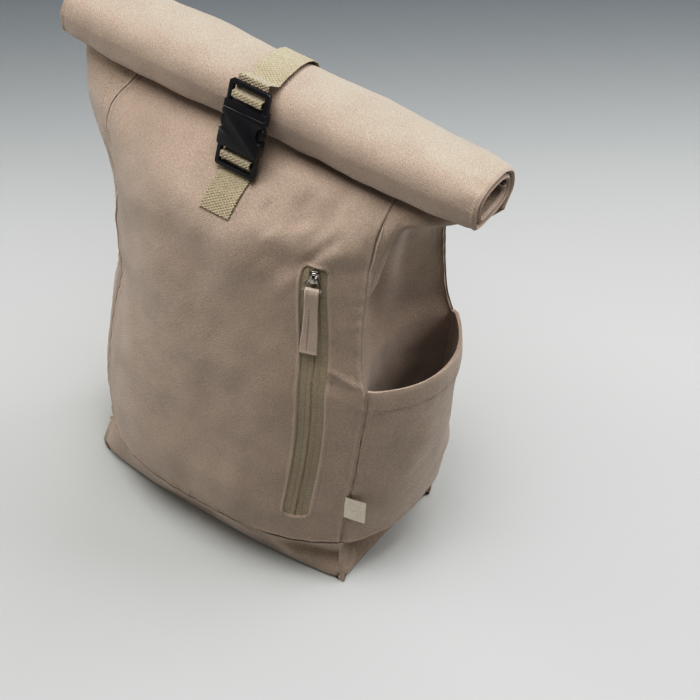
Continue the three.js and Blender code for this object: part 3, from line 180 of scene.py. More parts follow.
POCKET_BOWS = [[0, 0.7], [0.2, 0.87], [0.5, 0.98], [0.8, 1.01], [1, 1]]
ROLL_TAPER = [[0, 0.98], [0.4, 1], [0.7, 0.98], [0.88, 0.92], [1, 0.85]]

# Soft dents of the front panel: middle, reach and slant, then depth as a share of BAG_DEPTH
FRONT_DENTS = [
    (0.62, 0.9, 0.3, 0.055, 24, 0.05),
    (0.78, 0.6, 0.12, 0.16, 38, 0.03),
    (-0.7, 0.66, 0.2, 0.1, -30, 0.035),
    (-0.2, 0.78, 0.5, 0.07, -14, 0.02),
    (0.1, 0.2, 0.5, 0.08, 6, -0.02),
]


def lerp(a, b, t):
    return a + (b - a) * t


def smoothstep(value, low, high):
    t = np.clip((value - low) / (high - low), 0, 1)
    return t * t * (3 - 2 * t)


def hump(distance, reach):
    """1 at no distance, falling softly away over the reach."""
    return np.exp(-((distance / reach) ** 2))


def pucker(run, pitch, drift, distance=0, fade=1):
    """Small uneven waves along a seam, where its thread draws the cloth in, fading away from it."""
    return np.sin(run / pitch + 2 * np.sin(run / drift)) * np.exp(-distance / fade)


def run_along(line):
    """How far along a line each of its points is."""
    return np.concatenate([[0], np.cumsum(np.linalg.norm(np.diff(line, axis=0), axis=1))])


def points_at(line, run, at):
    """The line's points at the given distances along it."""
    return np.stack([np.interp(at, run, line[:, axis]) for axis in range(3)], -1)


def outside_rounded(off_x, off_z, half_x, half_z, corner):
    """How far a place is outside a rectangle with rounded corners; negative inside it."""
    over_x = np.abs(off_x) - (half_x - corner)
    over_z = np.abs(off_z) - (half_z - corner)
    outside = np.hypot(np.maximum(over_x, 0), np.maximum(over_z, 0))
    return outside + np.minimum(np.maximum(over_x, over_z), 0) - corner


def row_at(table, value):
    """A smooth curve through a table's rows: all columns at the given values of the first."""
    rows = np.array(table, float)
    value = np.asarray(value, float)
    last = len(rows) - 1
    i = np.clip(np.searchsorted(rows[1:last, 0], value), 0, last - 1)
    a, b = rows[i], rows[i + 1]
    before, after = rows[np.maximum(i - 1, 0)], rows[np.minimum(i + 2, last)]
    span = (b[..., :1] - a[..., :1])
    t = np.clip((value[..., None] - a[..., :1]) / span, 0, 1)
    rise = b - a
    inner_start = (i > 0)[..., None]
    inner_end = (i < last - 1)[..., None]
    start_run = np.where(inner_start, b[..., :1] - before[..., :1], 1)
    end_run = np.where(inner_end, after[..., :1] - a[..., :1], 1)
    start = np.where(inner_start, (b - before) / start_run * span, rise)
    end = np.where(inner_end, (after - a) / end_run * span, rise)
    cubes = (2 * t**3 - 3 * t**2 + 1, t**3 - 2 * t**2 + t, 3 * t**2 - 2 * t**3, t**3 - t**2)
    return a * cubes[0] + start * cubes[1] + b * cubes[2] + end * cubes[3]


def section_at(z):
    rows = row_at(SECTIONS, np.asarray(z, float) / NECK_HEIGHT)
    return {name: rows[..., k] for k, name in enumerate(SECTION_COLUMNS)}


def dent_at(x, z):
    depth = 0
    for middle_x, middle_z, wide, tall, turn, share in FRONT_DENTS:
        dx = x / HALF_WIDTH - middle_x
        dz = z / NECK_HEIGHT - middle_z
        cosine, sine = math.cos(math.radians(turn)), math.sin(math.radians(turn))
        along = (dx * cosine + dz * sine) / wide
        across = (dz * cosine - dx * sine) / tall
        depth = depth + share * BAG_DEPTH * np.exp(-(along**2 + across**2))
    return depth


def arch(s, power, crease=0):
    """0 at s = -1, up to 1 at s = crease, and back to 0 at s = 1."""
    reach = np.where(s > crease, 1 - crease, 1 + crease)
    return 1 - np.abs((s - crease) / reach) ** power


def skin(panel, t, z):
    """The bag's outside before its folds, at t from 0 to 1 round a panel and at a height."""
    t, z = np.broadcast_arrays(np.asarray(t, float), np.asarray(z, float))
    row = section_at(z)
    s = 2 * t - 1
    eased = np.sin(math.pi / 2 * s)
    if panel == "front":
        x = lerp(-row["left"], row["right"], t) * HALF_WIDTH
        bulge = row["belly"] * BAG_DEPTH - dent_at(x, z) * np.minimum(1, row["belly"] / 0.1)
        y = row["front"] * HALF_DEPTH - bulge * arch(s, row["power"])
    elif panel == "back":
        x = lerp(row["right"], -row["left"], t) * HALF_WIDTH
        y = row["back"] * HALF_DEPTH + row["bow_back"] * BAG_DEPTH * arch(s, 2)
    elif panel == "right":
        x = row["right"] * HALF_WIDTH
        x = x + row["bow_right"] * BAG_DEPTH * arch(eased, row["power_right"])
        y = lerp(row["front"], row["back"], (eased + 1) / 2) * HALF_DEPTH
    else:
        x = -row["left"] * HALF_WIDTH
        x = x - row["bow_left"] * BAG_DEPTH * arch(eased, row["power_left"], row["crease"])
        y = lerp(row["back"], row["front"], (eased + 1) / 2) * HALF_DEPTH
    return np.stack([x, y, z], -1)


def panel_t(panel, place, z):
    """How far round a panel a place is: x on the front and back, y on the sides."""
    row = section_at(z)
    if panel == "front":
        return (place / HALF_WIDTH + row["left"]) / (row["left"] + row["right"])
    if panel == "back":
        return (row["right"] - place / HALF_WIDTH) / (row["left"] + row["right"])
    start, end = ("front", "back") if panel == "right" else ("back", "front")
    eased = 2 * (place / HALF_DEPTH - row[start]) / (row[end] - row[start]) - 1
    return (np.arcsin(np.clip(eased, -1, 1)) / (math.pi / 2) + 1) / 2


def runs_across(panel):
    """The axis along a panel: 0 is x, 1 is y."""
    return 0 if panel in ("front", "back") else 1


def unit(vectors):
    return vectors / np.maximum(np.linalg.norm(vectors, axis=-1, keepdims=True), 1e-9)


def skin_normal(panel, t, z):
    across = skin(panel, t + 0.004, z) - skin(panel, t - 0.004, z)
    up = skin(panel, t, z + 1) - skin(panel, t, z - 1)
    return unit(np.cross(across, up))


def ripple(a, b, seed, shortest, longest, waves=14):
    """Soft uneven waves in cloth, about 1 high, from waves in many directions."""
    draw = np.random.default_rng(seed)
    total = 0
    for _ in range(waves):
        turn = draw.uniform(0, math.pi)
        length = draw.uniform(shortest, longest)
        phase = draw.uniform(0, 2 * math.pi)
        run = a * math.cos(turn) + b * math.sin(turn)
        total = total + np.sin(2 * math.pi * run / length + phase)
    return total / math.sqrt(waves)


def seam_relief(distance):
    """The shape of cloth beside a seam: sunk at it, then a rounded turned edge."""
    groove = -0.9 * hump(distance, 0.7)
    edge = 0.8 * hump(distance - 1.9, 1.2)
    stitched = -0.3 * hump(distance - SEAM_STITCH_INSET, 0.8)
    return groove + edge + stitched


def fold_relief(a, b, folds):
    """Creases and hollows along straight lines, each from (a, b) to (a, b), wide and high."""
    total = 0
    for start_a, start_b, end_a, end_b, width, height in folds:
        run = np.array([end_a - start_a, end_b - start_b], float)
        length = np.hypot(*run)
        way = run / length
        along = (a - start_a) * way[0] + (b - start_b) * way[1]
        off = -(a - start_a) * way[1] + (b - start_b) * way[0]
        ends = smoothstep(along, -0.15 * length, 0.25 * length)
        ends = ends * (1 - smoothstep(along, 0.75 * length, 1.15 * length))
        total = total + height * ends * hump(off, width)
    return total


# Folds of each panel in millimetres: across and up from and to, half width, height outwards
FOLDS = {
    "front": [
        (110, 258, 140, 238, 2.4, 2.3),
        (104, 250, 136, 230, 6, -1.6),
        (-128, 320, -50, 362, 22, 3.5),
        (-50, 364, 50, 352, 24, 3.5),
        (50, 352, 78, 334, 16, 2.5),
        (36, 394, 52, 378, 7, -3.5),
        (52, 378, 70, 344, 8, -2.5),
        (64, 404, 71, 386, 9, -3),
        (74, 388, 92, 364, 10, 3),
        (82, 358, 106, 386, 5, -4),
        (96, 396, 134, 394, 12, 5),
        (-128, 300, -96, 230, 12, -2),
        (-132, 360, -110, 300, 7, 1.6),
        (60, 60, 120, 74, 10, -1.4),
        (88, 376, 130, 380, 13, 5.5),
        (30, 386, 84, 368, 14, 4),
        (34, 407, 128, 409, 10, 5),
    ],
    "right": [
        (-44, 322, -40, 412, 9, 7),
        (-8, 262, -4, 396, 13, -9),
        (-34, 404, 46, 398, 7, 3),
        (30, 290, 20, 372, 8, -2),
    ],
    "left": [
        (-30, 300, 10, 380, 9, 2),
        (20, 250, 34, 360, 9, -2),
    ],
    "back": [
        (-90, 380, -30, 350, 9, 1.2),
        (30, 352, 95, 378, 9, 1.2),
    ],
}
# Starting numbers for the soft waves of the panels, the base's upstand and the pockets
PANEL_SEEDS = {"front": 3, "right": 5, "back": 7, "left": 11}
BAND_SEEDS = {"front": 31, "right": 32, "back": 33, "left": 34}
POCKET_SEEDS = {"right": 41, "left": 43}
# Folds of the base's upstand, by side
BAND_FOLDS = {
    "front": [(84, 34, 142, 22, 9, -9), (20, 40, 70, 30, 7, 1.2), (-140, 12, -50, 8, 16, 2.5)],
    "right": [(-62, 42, -30, 16, 9, -10), (-66, 0, -16, 46, 4.5, 5), (20, 44, 60, 20, 8, -1.5)],
    "back": [(-90, 30, -30, 20, 8, -1.4), (40, 18, 100, 30, 8, -1.4)],
    "left": [(-50, 18, 0, 30, 8, -1.6), (10, 30, 56, 18, 8, 1.4)],
}


def panel_relief(panel, t, z):
    """How far the finished cloth stands off the plain skin, and the painted highlight on its turned seam
    edges.
    """
    axis = runs_across(panel)
    a = skin(panel, t, z)[..., axis]
    width = np.abs(skin(panel, np.ones_like(t), z) - skin(panel, np.zeros_like(t), z))[..., axis]
    side = np.minimum(t, 1 - t) * width
    above_band = np.abs(z - BAND_HEIGHT)
    narrow = np.minimum(1, width / 60)
    seams = seam_relief(side) * narrow + seam_relief(above_band)
    pucker_side = 0.4 * pucker(z, 3.1, 17, side, 8) * narrow
    pucker_band = 0.4 * pucker(a, 3.3, 19, above_band, 7)
    seed = PANEL_SEEDS[panel]
    free = np.minimum(1, side / 20) * np.minimum(1, above_band / 20)
    soft = 0.6 * ripple(a, z, seed, 50, 150) + 0.3 * ripple(a, z, seed + 1, 18, 50)
    folds = fold_relief(a, z, FOLDS[panel])
    fade = 1 - smoothstep(z, NECK_HEIGHT - 14, NECK_HEIGHT)
    height = (seams + pucker_side + pucker_band + free * soft + folds) * fade
    # Painted highlight: paler on the turned seam edges, whose ridges catch the light
    highlight_and_wear = hump(side - 1.9, 0.9) + hump(above_band - 2, 1)
    return height, highlight_and_wear * fade


def clothed(panel, t, z):
    """Points on the finished outside of a panel, and the way out of the cloth there."""
    t, z = np.broadcast_arrays(np.asarray(t, float), np.asarray(z, float))
    height, _ = panel_relief(panel, t, z)
    normal = skin_normal(panel, t, z)
    return skin(panel, t, z) + normal * height[..., None], normal


# Meshes


def mesh_object(name, points, faces, material, nodes=(), uv=None, highlight_and_wear=None, sharp=50):
    """A piece of the bag from points in millimetres, riding on the bag."""
    mesh = bpy.data.meshes.new(name)
    faces = faces if isinstance(faces, list) else faces.tolist()
    mesh.from_pydata((np.asarray(points, float) * MM).tolist(), [], faces)
    piece = bpy.data.objects.new(name, mesh)
    bpy.context.scene.collection.objects.link(piece)
    mesh.polygons.foreach_set("use_smooth", np.ones(len(mesh.polygons), bool))
    mesh.set_sharp_from_angle(angle=math.radians(sharp))
    corners = np.zeros(len(mesh.loops), int)
    mesh.loops.foreach_get("vertex_index", corners)
    if uv is not None:
        layer = mesh.uv_layers.new(name="cloth")
        layer.data.foreach_set("uv", np.asarray(uv, float)[corners].astype(np.float32).ravel())
    # Painted highlight on turned edges and ridges, and on the pull tab its paler fold, edges and frayed
    # end, kept per point to make the cloth paler
    if highlight_and_wear is not None:
        layer = mesh.attributes.new("highlight_and_wear", "FLOAT", "POINT")
        layer.data.foreach_set("value", np.asarray(highlight_and_wear, np.float32).ravel())
    mesh.materials.append(material)
    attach(piece, "root")
    if nodes:
        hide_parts(*nodes)
    return piece


def grid_normals(grid):
    across = np.gradient(grid, axis=1)
    up = np.gradient(grid, axis=0)
    return unit(np.cross(across, up))


def grid_uv(grid):
    """Lengths along a grid's middle row and column, in millimetres, at each of its points."""
    rows, columns = grid.shape[:2]
    u, v = run_along(grid[rows // 2]), run_along(grid[:, columns // 2])
    return np.stack(np.broadcast_arrays(u[None, :], v[:, None]), -1)


def wall(outer, inner, keep=None):
    """The faces of a closed wall between two grids of points; keep leaves cells out of it."""
    rows, columns = outer.shape[:2]
    index = np.arange(rows * columns).reshape(rows, columns)
    below = rows * columns
    if keep is None:
        keep = np.ones((rows - 1, columns - 1), bool)
    corner = [index[:-1, :-1], index[:-1, 1:], index[1:, 1:], index[1:, :-1]]
    quads = np.stack([part[keep] for part in corner], -1)
    faces = [quads, quads[:, ::-1] + below]
    framed = np.pad(keep, 1)
    beside = [framed[:-2, 1:-1], framed[1:-1, 2:], framed[2:, 1:-1], framed[1:-1, :-2]]
    for k in range(4):
        open_edge = keep & ~beside[k]
        a, b = corner[k][open_edge], corner[(k + 1) % 4][open_edge]
        faces.append(np.stack([b, a, a + below, b + below], -1))
    points = np.concatenate([outer.reshape(-1, 3), inner.reshape(-1, 3)])
    faces = np.concatenate(faces)
    used = np.unique(faces)
    renumber = np.zeros(len(points), int)
    renumber[used] = np.arange(len(used))
    return points[used], renumber[faces], used


def sheet_object(name, outer, inner, material, nodes=(), highlight_and_wear=None, keep=None):
    points, faces, used = wall(outer, inner, keep)
    uv = np.tile(grid_uv(outer).reshape(-1, 2), (2, 1))[used]
    if highlight_and_wear is not None:
        highlight_and_wear = np.concatenate([highlight_and_wear.ravel(), highlight_and_wear.ravel() * 0])[used]
    return mesh_object(name, points, faces, material, nodes, uv, highlight_and_wear)


def loop_faces(rows, ring):
    """Faces of a tube of rings, each of as many points, whose ends stay open."""
    index = np.arange(rows * ring).reshape(rows, ring)
    turned = np.roll(index, -1, axis=1)
    return np.stack([index[:-1], turned[:-1], turned[1:], index[1:]], -1).reshape(-1, 4)


def tube_wall(rows, ring, rims):
    """Faces of the wall between two tubes, the inner after the outer, with its first or last rim."""
    below = rows * ring
    faces = [loop_faces(rows, ring), loop_faces(rows, ring)[:, ::-1] + below]
    for row in rims:
        edge = np.arange(ring) + row * ring
        after = np.roll(edge, -1)
        rim = np.stack([edge, after, after + below, edge + below], -1)
        faces.append(rim if row else rim[:, ::-1])
    return np.concatenate(faces)


def add_tube(points, faces, rings, first, second, sides, flip=False):
    """Adds a small closed tube through rings, each a centre and a radius, round two crosswise ways."""
    base = len(points)
    for centre, radius in rings:
        for turn in np.arange(sides) * 2 * math.pi / sides:
            points.append(centre + (first * math.cos(turn) + second * math.sin(turn)) * radius)
    start = list(range(base, base + sides))
    tube = [start, [corner + (len(rings) - 1) * sides for corner in start][::-1]]
    for ring in range(base, base + (len(rings) - 1) * sides, sides):
        for c in range(sides):
            a, b = ring + c, ring + (c + 1) % sides
            tube.append([a, a + sides, b + sides, b])
    faces.extend(face[::-1] if flip else face for face in tube)


# A stitch dives at both ends: how far along, how full, and how high over the cloth, in threads
STITCH_SIDES = 6
STITCH_RINGS = ((0, 0.35, -0.7), (0.25, 1, 0.3), (0.75, 1, 0.3), (1, 0.35, -0.7))
STITCH_REACH = 0.38


def stitches(name, runs, material, pitch=3.6, thread=0.42):
    """Rows of stitches: each run is points on the cloth and the way out of it at each."""
    points, faces = [], []
    for path, out in runs:
        run = run_along(path)
        count = max(1, int(run[-1] / pitch))
        step = run[-1] / count
        for middle in (np.arange(count) + 0.5) * step:
            start = points_at(path, run, middle - STITCH_REACH * step)
            end = points_at(path, run, middle + STITCH_REACH * step)
            normal = unit(points_at(out, run, middle))
            side = np.cross(normal, unit(end - start))
            rings = [
                (lerp(start, end, share) + normal * rise * thread, full * thread)
                for share, full, rise in STITCH_RINGS
            ]
            add_tube(points, faces, rings, side, normal, STITCH_SIDES)
    mesh_object(name, points, faces, material, sharp=180)


# Materials


def linear(colour):
    """An sRGB hex colour as the linear values that shaders take."""
    channels = [int(colour[i : i + 2], 16) / 255 for i in (1, 3, 5)]
    return [c / 12.92 if c <= 0.04045 else ((c + 0.055) / 1.055) ** 2.4 for c in channels] + [1]


def add_node(tree, kind, settings=(), inputs=()):
    """One shader node, with its settings and what its sockets hold or are linked to."""
    node = tree.nodes.new(kind)
    for key, value in dict(settings).items():
        setattr(node, key, value)
    for key, value in dict(inputs).items():
        if isinstance(value, bpy.types.NodeSocket):
            tree.links.new(value, node.inputs[key])
        else:
            node.inputs[key].default_value = value
    return node


def new_material(name, roughness, specular=0.5):
    material = bpy.data.materials.new(name)
    material.use_nodes = True
    shader = material.node_tree.nodes["Principled BSDF"]
    shader.inputs["Roughness"].default_value = roughness
    shader.inputs["Specular IOR Level"].default_value = specular
    return material, material.node_tree, shader


MULTIPLY, ADD, SINE = ({"operation": name} for name in ("MULTIPLY", "ADD", "SINE"))
COLOURS = {"data_type": "RGBA"}
# Sizes of cloth's grain in millimetres: the lie of its nap, and its single fibres
NAP_SIZE = 35.7
FIBRE_SIZE = 1.613


def woven(name, colours, threads, depth, roughness, fleck_amount, ribbing):
    """Cloth of one yarn: its ground, pale and dark flecks, and its warp and weft spacing in mm.

    depth is the relief in mm, and ribbing how much of it is the even weave, beside uneven yarn.
    """
    material, tree, shader = new_material(name, roughness)
    ground, fleck, shade = (linear(colour) for colour in colours)
    uv = add_node(tree, "ShaderNodeUVMap", {"uv_map": "cloth"}).outputs[0]
    parts = add_node(tree, "ShaderNodeSeparateXYZ", inputs={0: uv})
    waves = []
    for axis, spacing in enumerate(threads):
        run = {0: parts.outputs[axis], 1: math.pi / spacing}
        run = add_node(tree, "ShaderNodeMath", MULTIPLY, run).outputs[0]
        waves.append(add_node(tree, "ShaderNodeMath", SINE, {0: run}).outputs[0])
    weave = add_node(tree, "ShaderNodeMath", MULTIPLY, {0: waves[0], 1: waves[1]}).outputs[0]
    # Slubs: yarn that thickens and thins over 0.7 to 1.5 mm, along the warp and along the weft
    slubs = []
    for stretch in ((0.65, 1.5, 1), (1.5, 0.65, 1)):
        run = add_node(tree, "ShaderNodeVectorMath", MULTIPLY, {0: uv, 1: stretch}).outputs[0]
        uneven = {"Vector": run, "Scale": 1.0, "Detail": 2.0, "Roughness": 0.6}
        slubs.append(add_node(tree, "ShaderNodeTexNoise", inputs=uneven).outputs["Fac"])
    yarn = add_node(tree, "ShaderNodeMath", ADD, {0: slubs[0], 1: slubs[1]})
    yarn = add_node(tree, "ShaderNodeMath", MULTIPLY, {0: yarn.outputs[0], 1: 0.5}).outputs[0]
    ramp = add_node(tree, "ShaderNodeValToRGB", inputs={"Fac": yarn})
    ends = ramp.color_ramp.elements
    ends[0].position, ends[0].color = 0.34, shade
    ends[1].position, ends[1].color = 0.66, fleck
    ends.new(0.5).color = ground
    tint = add_node(tree, "ShaderNodeMix", COLOURS, {0: fleck_amount, 6: ground, 7: ramp.outputs[0]})
    # Nap that lies differently over a few centimetres, single fibres, and painted shade on the weave,
    # darker where it is sunk and lighter where it is raised
    place = add_node(tree, "ShaderNodeTexCoord").outputs["Object"]
    nap, fibres = (
        add_node(
            tree, "ShaderNodeTexNoise", inputs={"Vector": place, "Scale": 1 / (size * MM), "Detail": 2.0}
        ).outputs["Fac"]
        for size in (NAP_SIZE, FIBRE_SIZE)
    )
    tones = []
    for value, low, high, dark, light in (
        (nap, 0.3, 0.7, 0.93, 1.06),
        (fibres, 0.25, 0.75, 0.86, 1.14),
        (weave, -1.0, 1.0, 1 - 0.15 * ribbing, 1 + 0.1 * ribbing),
    ):
        reach = {"From Min": low, "From Max": high, "To Min": dark, "To Max": light}
        tones.append(add_node(tree, "ShaderNodeMapRange", inputs={"Value": value, **reach}).outputs[0])
    tone = add_node(tree, "ShaderNodeMath", MULTIPLY, {0: tones[0], 1: tones[1]})
    tone = add_node(tree, "ShaderNodeMath", MULTIPLY, {0: tone.outputs[0], 1: tones[2]})
    toned = add_node(
        tree, "ShaderNodeMix", {**COLOURS, "blend_type": "MULTIPLY"},
        {0: 1.0, 6: tint.outputs[2], 7: tone.outputs[0]},
    )
    # Painted highlight: the per-point attribute mixes the cloth towards its pale flecks on turned edges and
    # ridges
    highlight_and_wear = add_node(tree, "ShaderNodeAttribute", {"attribute_name": "highlight_and_wear"}).outputs["Fac"]
    highlight_and_wear = add_node(tree, "ShaderNodeMath", MULTIPLY, {0: highlight_and_wear, 1: 0.3}).outputs[0]
    paler = add_node(tree, "ShaderNodeMix", COLOURS, {0: highlight_and_wear, 6: toned.outputs[2], 7: fleck})
    tree.links.new(paler.outputs[2], shader.inputs["Base Color"])
    height = {0: weave, 1: ribbing, 2: yarn}
    height = add_node(tree, "ShaderNodeMath", {"operation": "MULTIPLY_ADD"}, height).outputs[0]
    relief = {"Strength": 0.8, "Distance": depth * MM, "Height": height}
    bump = add_node(tree, "ShaderNodeBump", inputs=relief)
    tree.links.new(bump.outputs[0], shader.inputs["Normal"])
    shader.inputs["Sheen Weight"].default_value = 0.3
    shader.inputs["Sheen Roughness"].default_value = 0.5
    return material


# Cotton canvas, plain woven and piece dyed sand: matt, with a soft nap. Its 0.6 mm threads are drawn
# at 1.3 mm so that they show.
SAND = ("#a79585", "#c9b8a8", "#846f61")
canvas = woven("cotton_canvas", SAND, (1.3, 1.3), 0.8, 0.85, 0.5, 0.12)
padded_canvas = woven("padded_cotton_canvas", SAND, (1.3, 1.3), 0.8, 0.85, 0.5, 0.12)
# Undyed cotton webbing, woven thick: yarns 1.4 and 2 mm apart that cast small shadows
webbing = woven("cotton_webbing", ("#a79a80", "#c6baa0", "#6f6450"), (2.0, 1.4), 0.8, 0.85, 0.5, 0.8)
# Polyester zip tape, ribbed across every millimetre and plain along its length, with a faint gloss
zip_tape = woven("polyester_zip_tape", ("#a3957d", "#b9ac94", "#756955"), (40, 1.0), 0.4, 0.6, 0.4, 0.45)
# Cotton tape, finely woven and pressed flat
label_tape = woven("cotton_label_tape", ("#dcd2c1", "#e8e0d2", "#c9bda9"), (0.8, 0.8), 0.15, 0.85, 0.4, 0.3)


def plain(name, colour, roughness, grain_mm=0.0, depth=0.0, metallic=0.0, uneven=0.08):
    """A moulded, spun or cast surface: its colour, a fine grain and a slightly uneven gloss."""
    material, tree, shader = new_material(name, roughness)
    place = add_node(tree, "ShaderNodeTexCoord").outputs["Object"]
    patches = add_node(
        tree, "ShaderNodeTexNoise", inputs={"Vector": place, "Scale": 160.0, "Detail": 3.0}
    ).outputs["Fac"]
    base = linear(colour)
    lighter = [min(1, c * (1 + 3 * uneven)) for c in base[:3]] + [1]
    mix = add_node(tree, "ShaderNodeMix", COLOURS, {0: patches, 6: base, 7: lighter})
    tree.links.new(mix.outputs[2], shader.inputs["Base Color"])
    reach = {"To Min": roughness - uneven, "To Max": roughness + uneven}
    gloss = add_node(tree, "ShaderNodeMapRange", inputs={"Value": patches, **reach})
    tree.links.new(gloss.outputs[0], shader.inputs["Roughness"])
    shader.inputs["Metallic"].default_value = metallic
    if grain_mm:
        fine = {"Vector": place, "Scale": 1 / (grain_mm * MM), "Detail": 2.0}
        grain = add_node(tree, "ShaderNodeTexNoise", inputs=fine).outputs["Fac"]
        relief = {"Strength": 0.5, "Distance": depth * MM, "Height": grain}
        bump = add_node(tree, "ShaderNodeBump", inputs=relief)
        tree.links.new(bump.outputs[0], shader.inputs["Normal"])
    return material


# Acetal, injection moulded in a lightly etched mould: nearly black, satin, with soft highlights
acetal = plain("moulded_acetal", "#1b1a1e", 0.36, 0.5, 0.02)
# Zinc alloy, die cast, tumbled and plated black nickel: dark and glossy
black_nickel = plain("black_nickel_zinc", "#bcb6b0", 0.14, metallic=1.0, uneven=0.05)
# Spun polyester thread, dyed to the cloth or a shade darker: matt, with a fine twist
sand_thread = plain("spun_polyester_thread", "#a8957f", 0.7, 0.3, 0.05)
shade_thread = plain("spun_polyester_thread_dark", "#8a7a69", 0.7, 0.3, 0.05)
# Cotton yarn from the cut end of the pull, worn to its undyed core
raw_yarn = plain("raw_cotton_yarn", "#d9ccba", 0.8, 0.3, 0.05)

# The bag's panels


def body_rows():
    """Heights of the panels' rows, with rows on both ends of the zip's window."""
    low = np.linspace(BODY_BOTTOM, ZIP_BOTTOM, 17)
    middle = np.linspace(ZIP_BOTTOM, ZIP_TOP, 119)[1:]
    high = np.linspace(ZIP_TOP, NECK_HEIGHT, 36)[1:]
    return np.concatenate([low, middle, high])


def zip_x(z):
    share = (z - ZIP_BOTTOM) / WINDOW_HEIGHT
    bow = ZIP_SWAY * np.sin(math.pi * share / ZIP_SWAY_SPAN)
    return HALF_WIDTH - ZIP_INSET + ZIP_LEAN * share + bow


def window_distance(x, z):
    """How far a place of the front panel is outside the zip's window; negative inside it."""
    return outside_rounded(
        x - zip_x(z), z - WINDOW_MIDDLE, ZIP_WINDOW_WIDTH / 2, WINDOW_HEIGHT / 2, WINDOW_CORNER
    )


def window_relief(distance):
    """The turned edge of the cloth round the zip's window, and the row of stitches in it."""
    turned = 0.8 * hump(distance - 1.6, 1.2)
    rolled = -0.9 * hump(distance, 0.6)
    sewn = -0.3 * hump(distance - WINDOW_STITCH_INSET, 0.6)
    return turned + rolled + sewn


def front_cloth(t, z):
    """The front panel's outside, with the turned edge of its zip window."""
    points, normal = clothed("front", t, z)
    distance = window_distance(points[..., 0], np.broadcast_to(z, points.shape[:-1]))
    return points + normal * window_relief(distance)[..., None], normal


def corners_of(grid):
    """The values at the four corners of each of a grid's cells."""
    return grid[:-1, :-1], grid[1:, :-1], grid[:-1, 1:], grid[1:, 1:]


def seam_edges(grid):
    """Draws a grid's outer columns in by half a seam gap."""
    grid = grid.copy()
    for edge, beside in ((0, 1), (-1, -2)):
        grid[:, edge] += unit(grid[:, beside] - grid[:, edge]) * SEAM_GAP / 2
    return grid


def front_panel():
    """The front, with finer columns over the zip and its window cut out."""
    z = body_rows()[:, None]
    half = ZIP_WINDOW_WIDTH / 2
    left_edge, right_edge = (panel_t("front", zip_x(z) + reach, z) for reach in (-half, half))
    beside, over, beyond = (np.linspace(0, 1, cells + 1)[None, :] for cells in (110, 16, 20))
    spread = 0.35 * (1 - np.cos(math.pi * beside)) / 2 + 0.65 * beside
    t = np.concatenate([
        left_edge * spread,
        lerp(left_edge, right_edge, over[:, 1:]),
        lerp(right_edge, 1, beyond[:, 1:]),
    ], 1)
    flat = skin("front", t, z)
    x, height = flat[..., 0], flat[..., 2]
    distance = window_distance(x, height)
    keep = sum(corners_of(distance)) > 0
    on_cut, on_kept = (np.any(corners_of(np.pad(cells, 1)), axis=0) for cells in (~keep, keep))
    edge = on_cut & on_kept
    # The window's rim goes on its true outline, round the corners too
    step = 0.01
    slope_x = (window_distance(x + step, height) - distance) / step
    slope_z = (window_distance(x, height + step) - distance) / step
    span = (section_at(height)["left"] + section_at(height)["right"]) * HALF_WIDTH
    t = np.where(edge, t - distance * slope_x / span, t)
    z = np.where(edge, height - distance * slope_z, height)
    outer, normal = front_cloth(t, z)
    _, highlight_and_wear = panel_relief("front", t, z)
    # Painted highlight on the turned rim round the zip's window
    rim = hump(window_distance(outer[..., 0], z) - 1.5, 1.3)
    inner = outer - normal * CLOTH
    sheet_object(
        "front_cloth", seam_edges(outer), seam_edges(inner), canvas, ["front_panel"],
        highlight_and_wear=np.clip(highlight_and_wear + rim, 0, 1), keep=keep,
    )


def plain_panel(panel, node, columns):
    t, z = np.broadcast_arrays(np.linspace(0, 1, columns + 1)[None, :], body_rows()[:, None])
    outer, normal = clothed(panel, t, z)
    _, highlight_and_wear = panel_relief(panel, t, z)
    inner = outer - normal * CLOTH
    name = node.replace("panel", "cloth")
    sheet_object(
        name, seam_edges(outer), seam_edges(inner), canvas, [node], highlight_and_wear=np.clip(highlight_and_wear, 0, 1)
    )


front_panel()
plain_panel("right", "side_panel_right", 70)
plain_panel("back", "back_panel", 70)
plain_panel("left", "side_panel_left", 70)


# Heights of the upstand's rows, closer towards its bent foot and its seam
BASE_ROWS = [
    0, 0.5, 1.6, 3.2, 5, 7, 9.5, 12, 15, 18, 21, 24, 27, 30, 33, 36, 38.5, 40.5, 42, 43.2, 44.2, 45, 45.7,
]


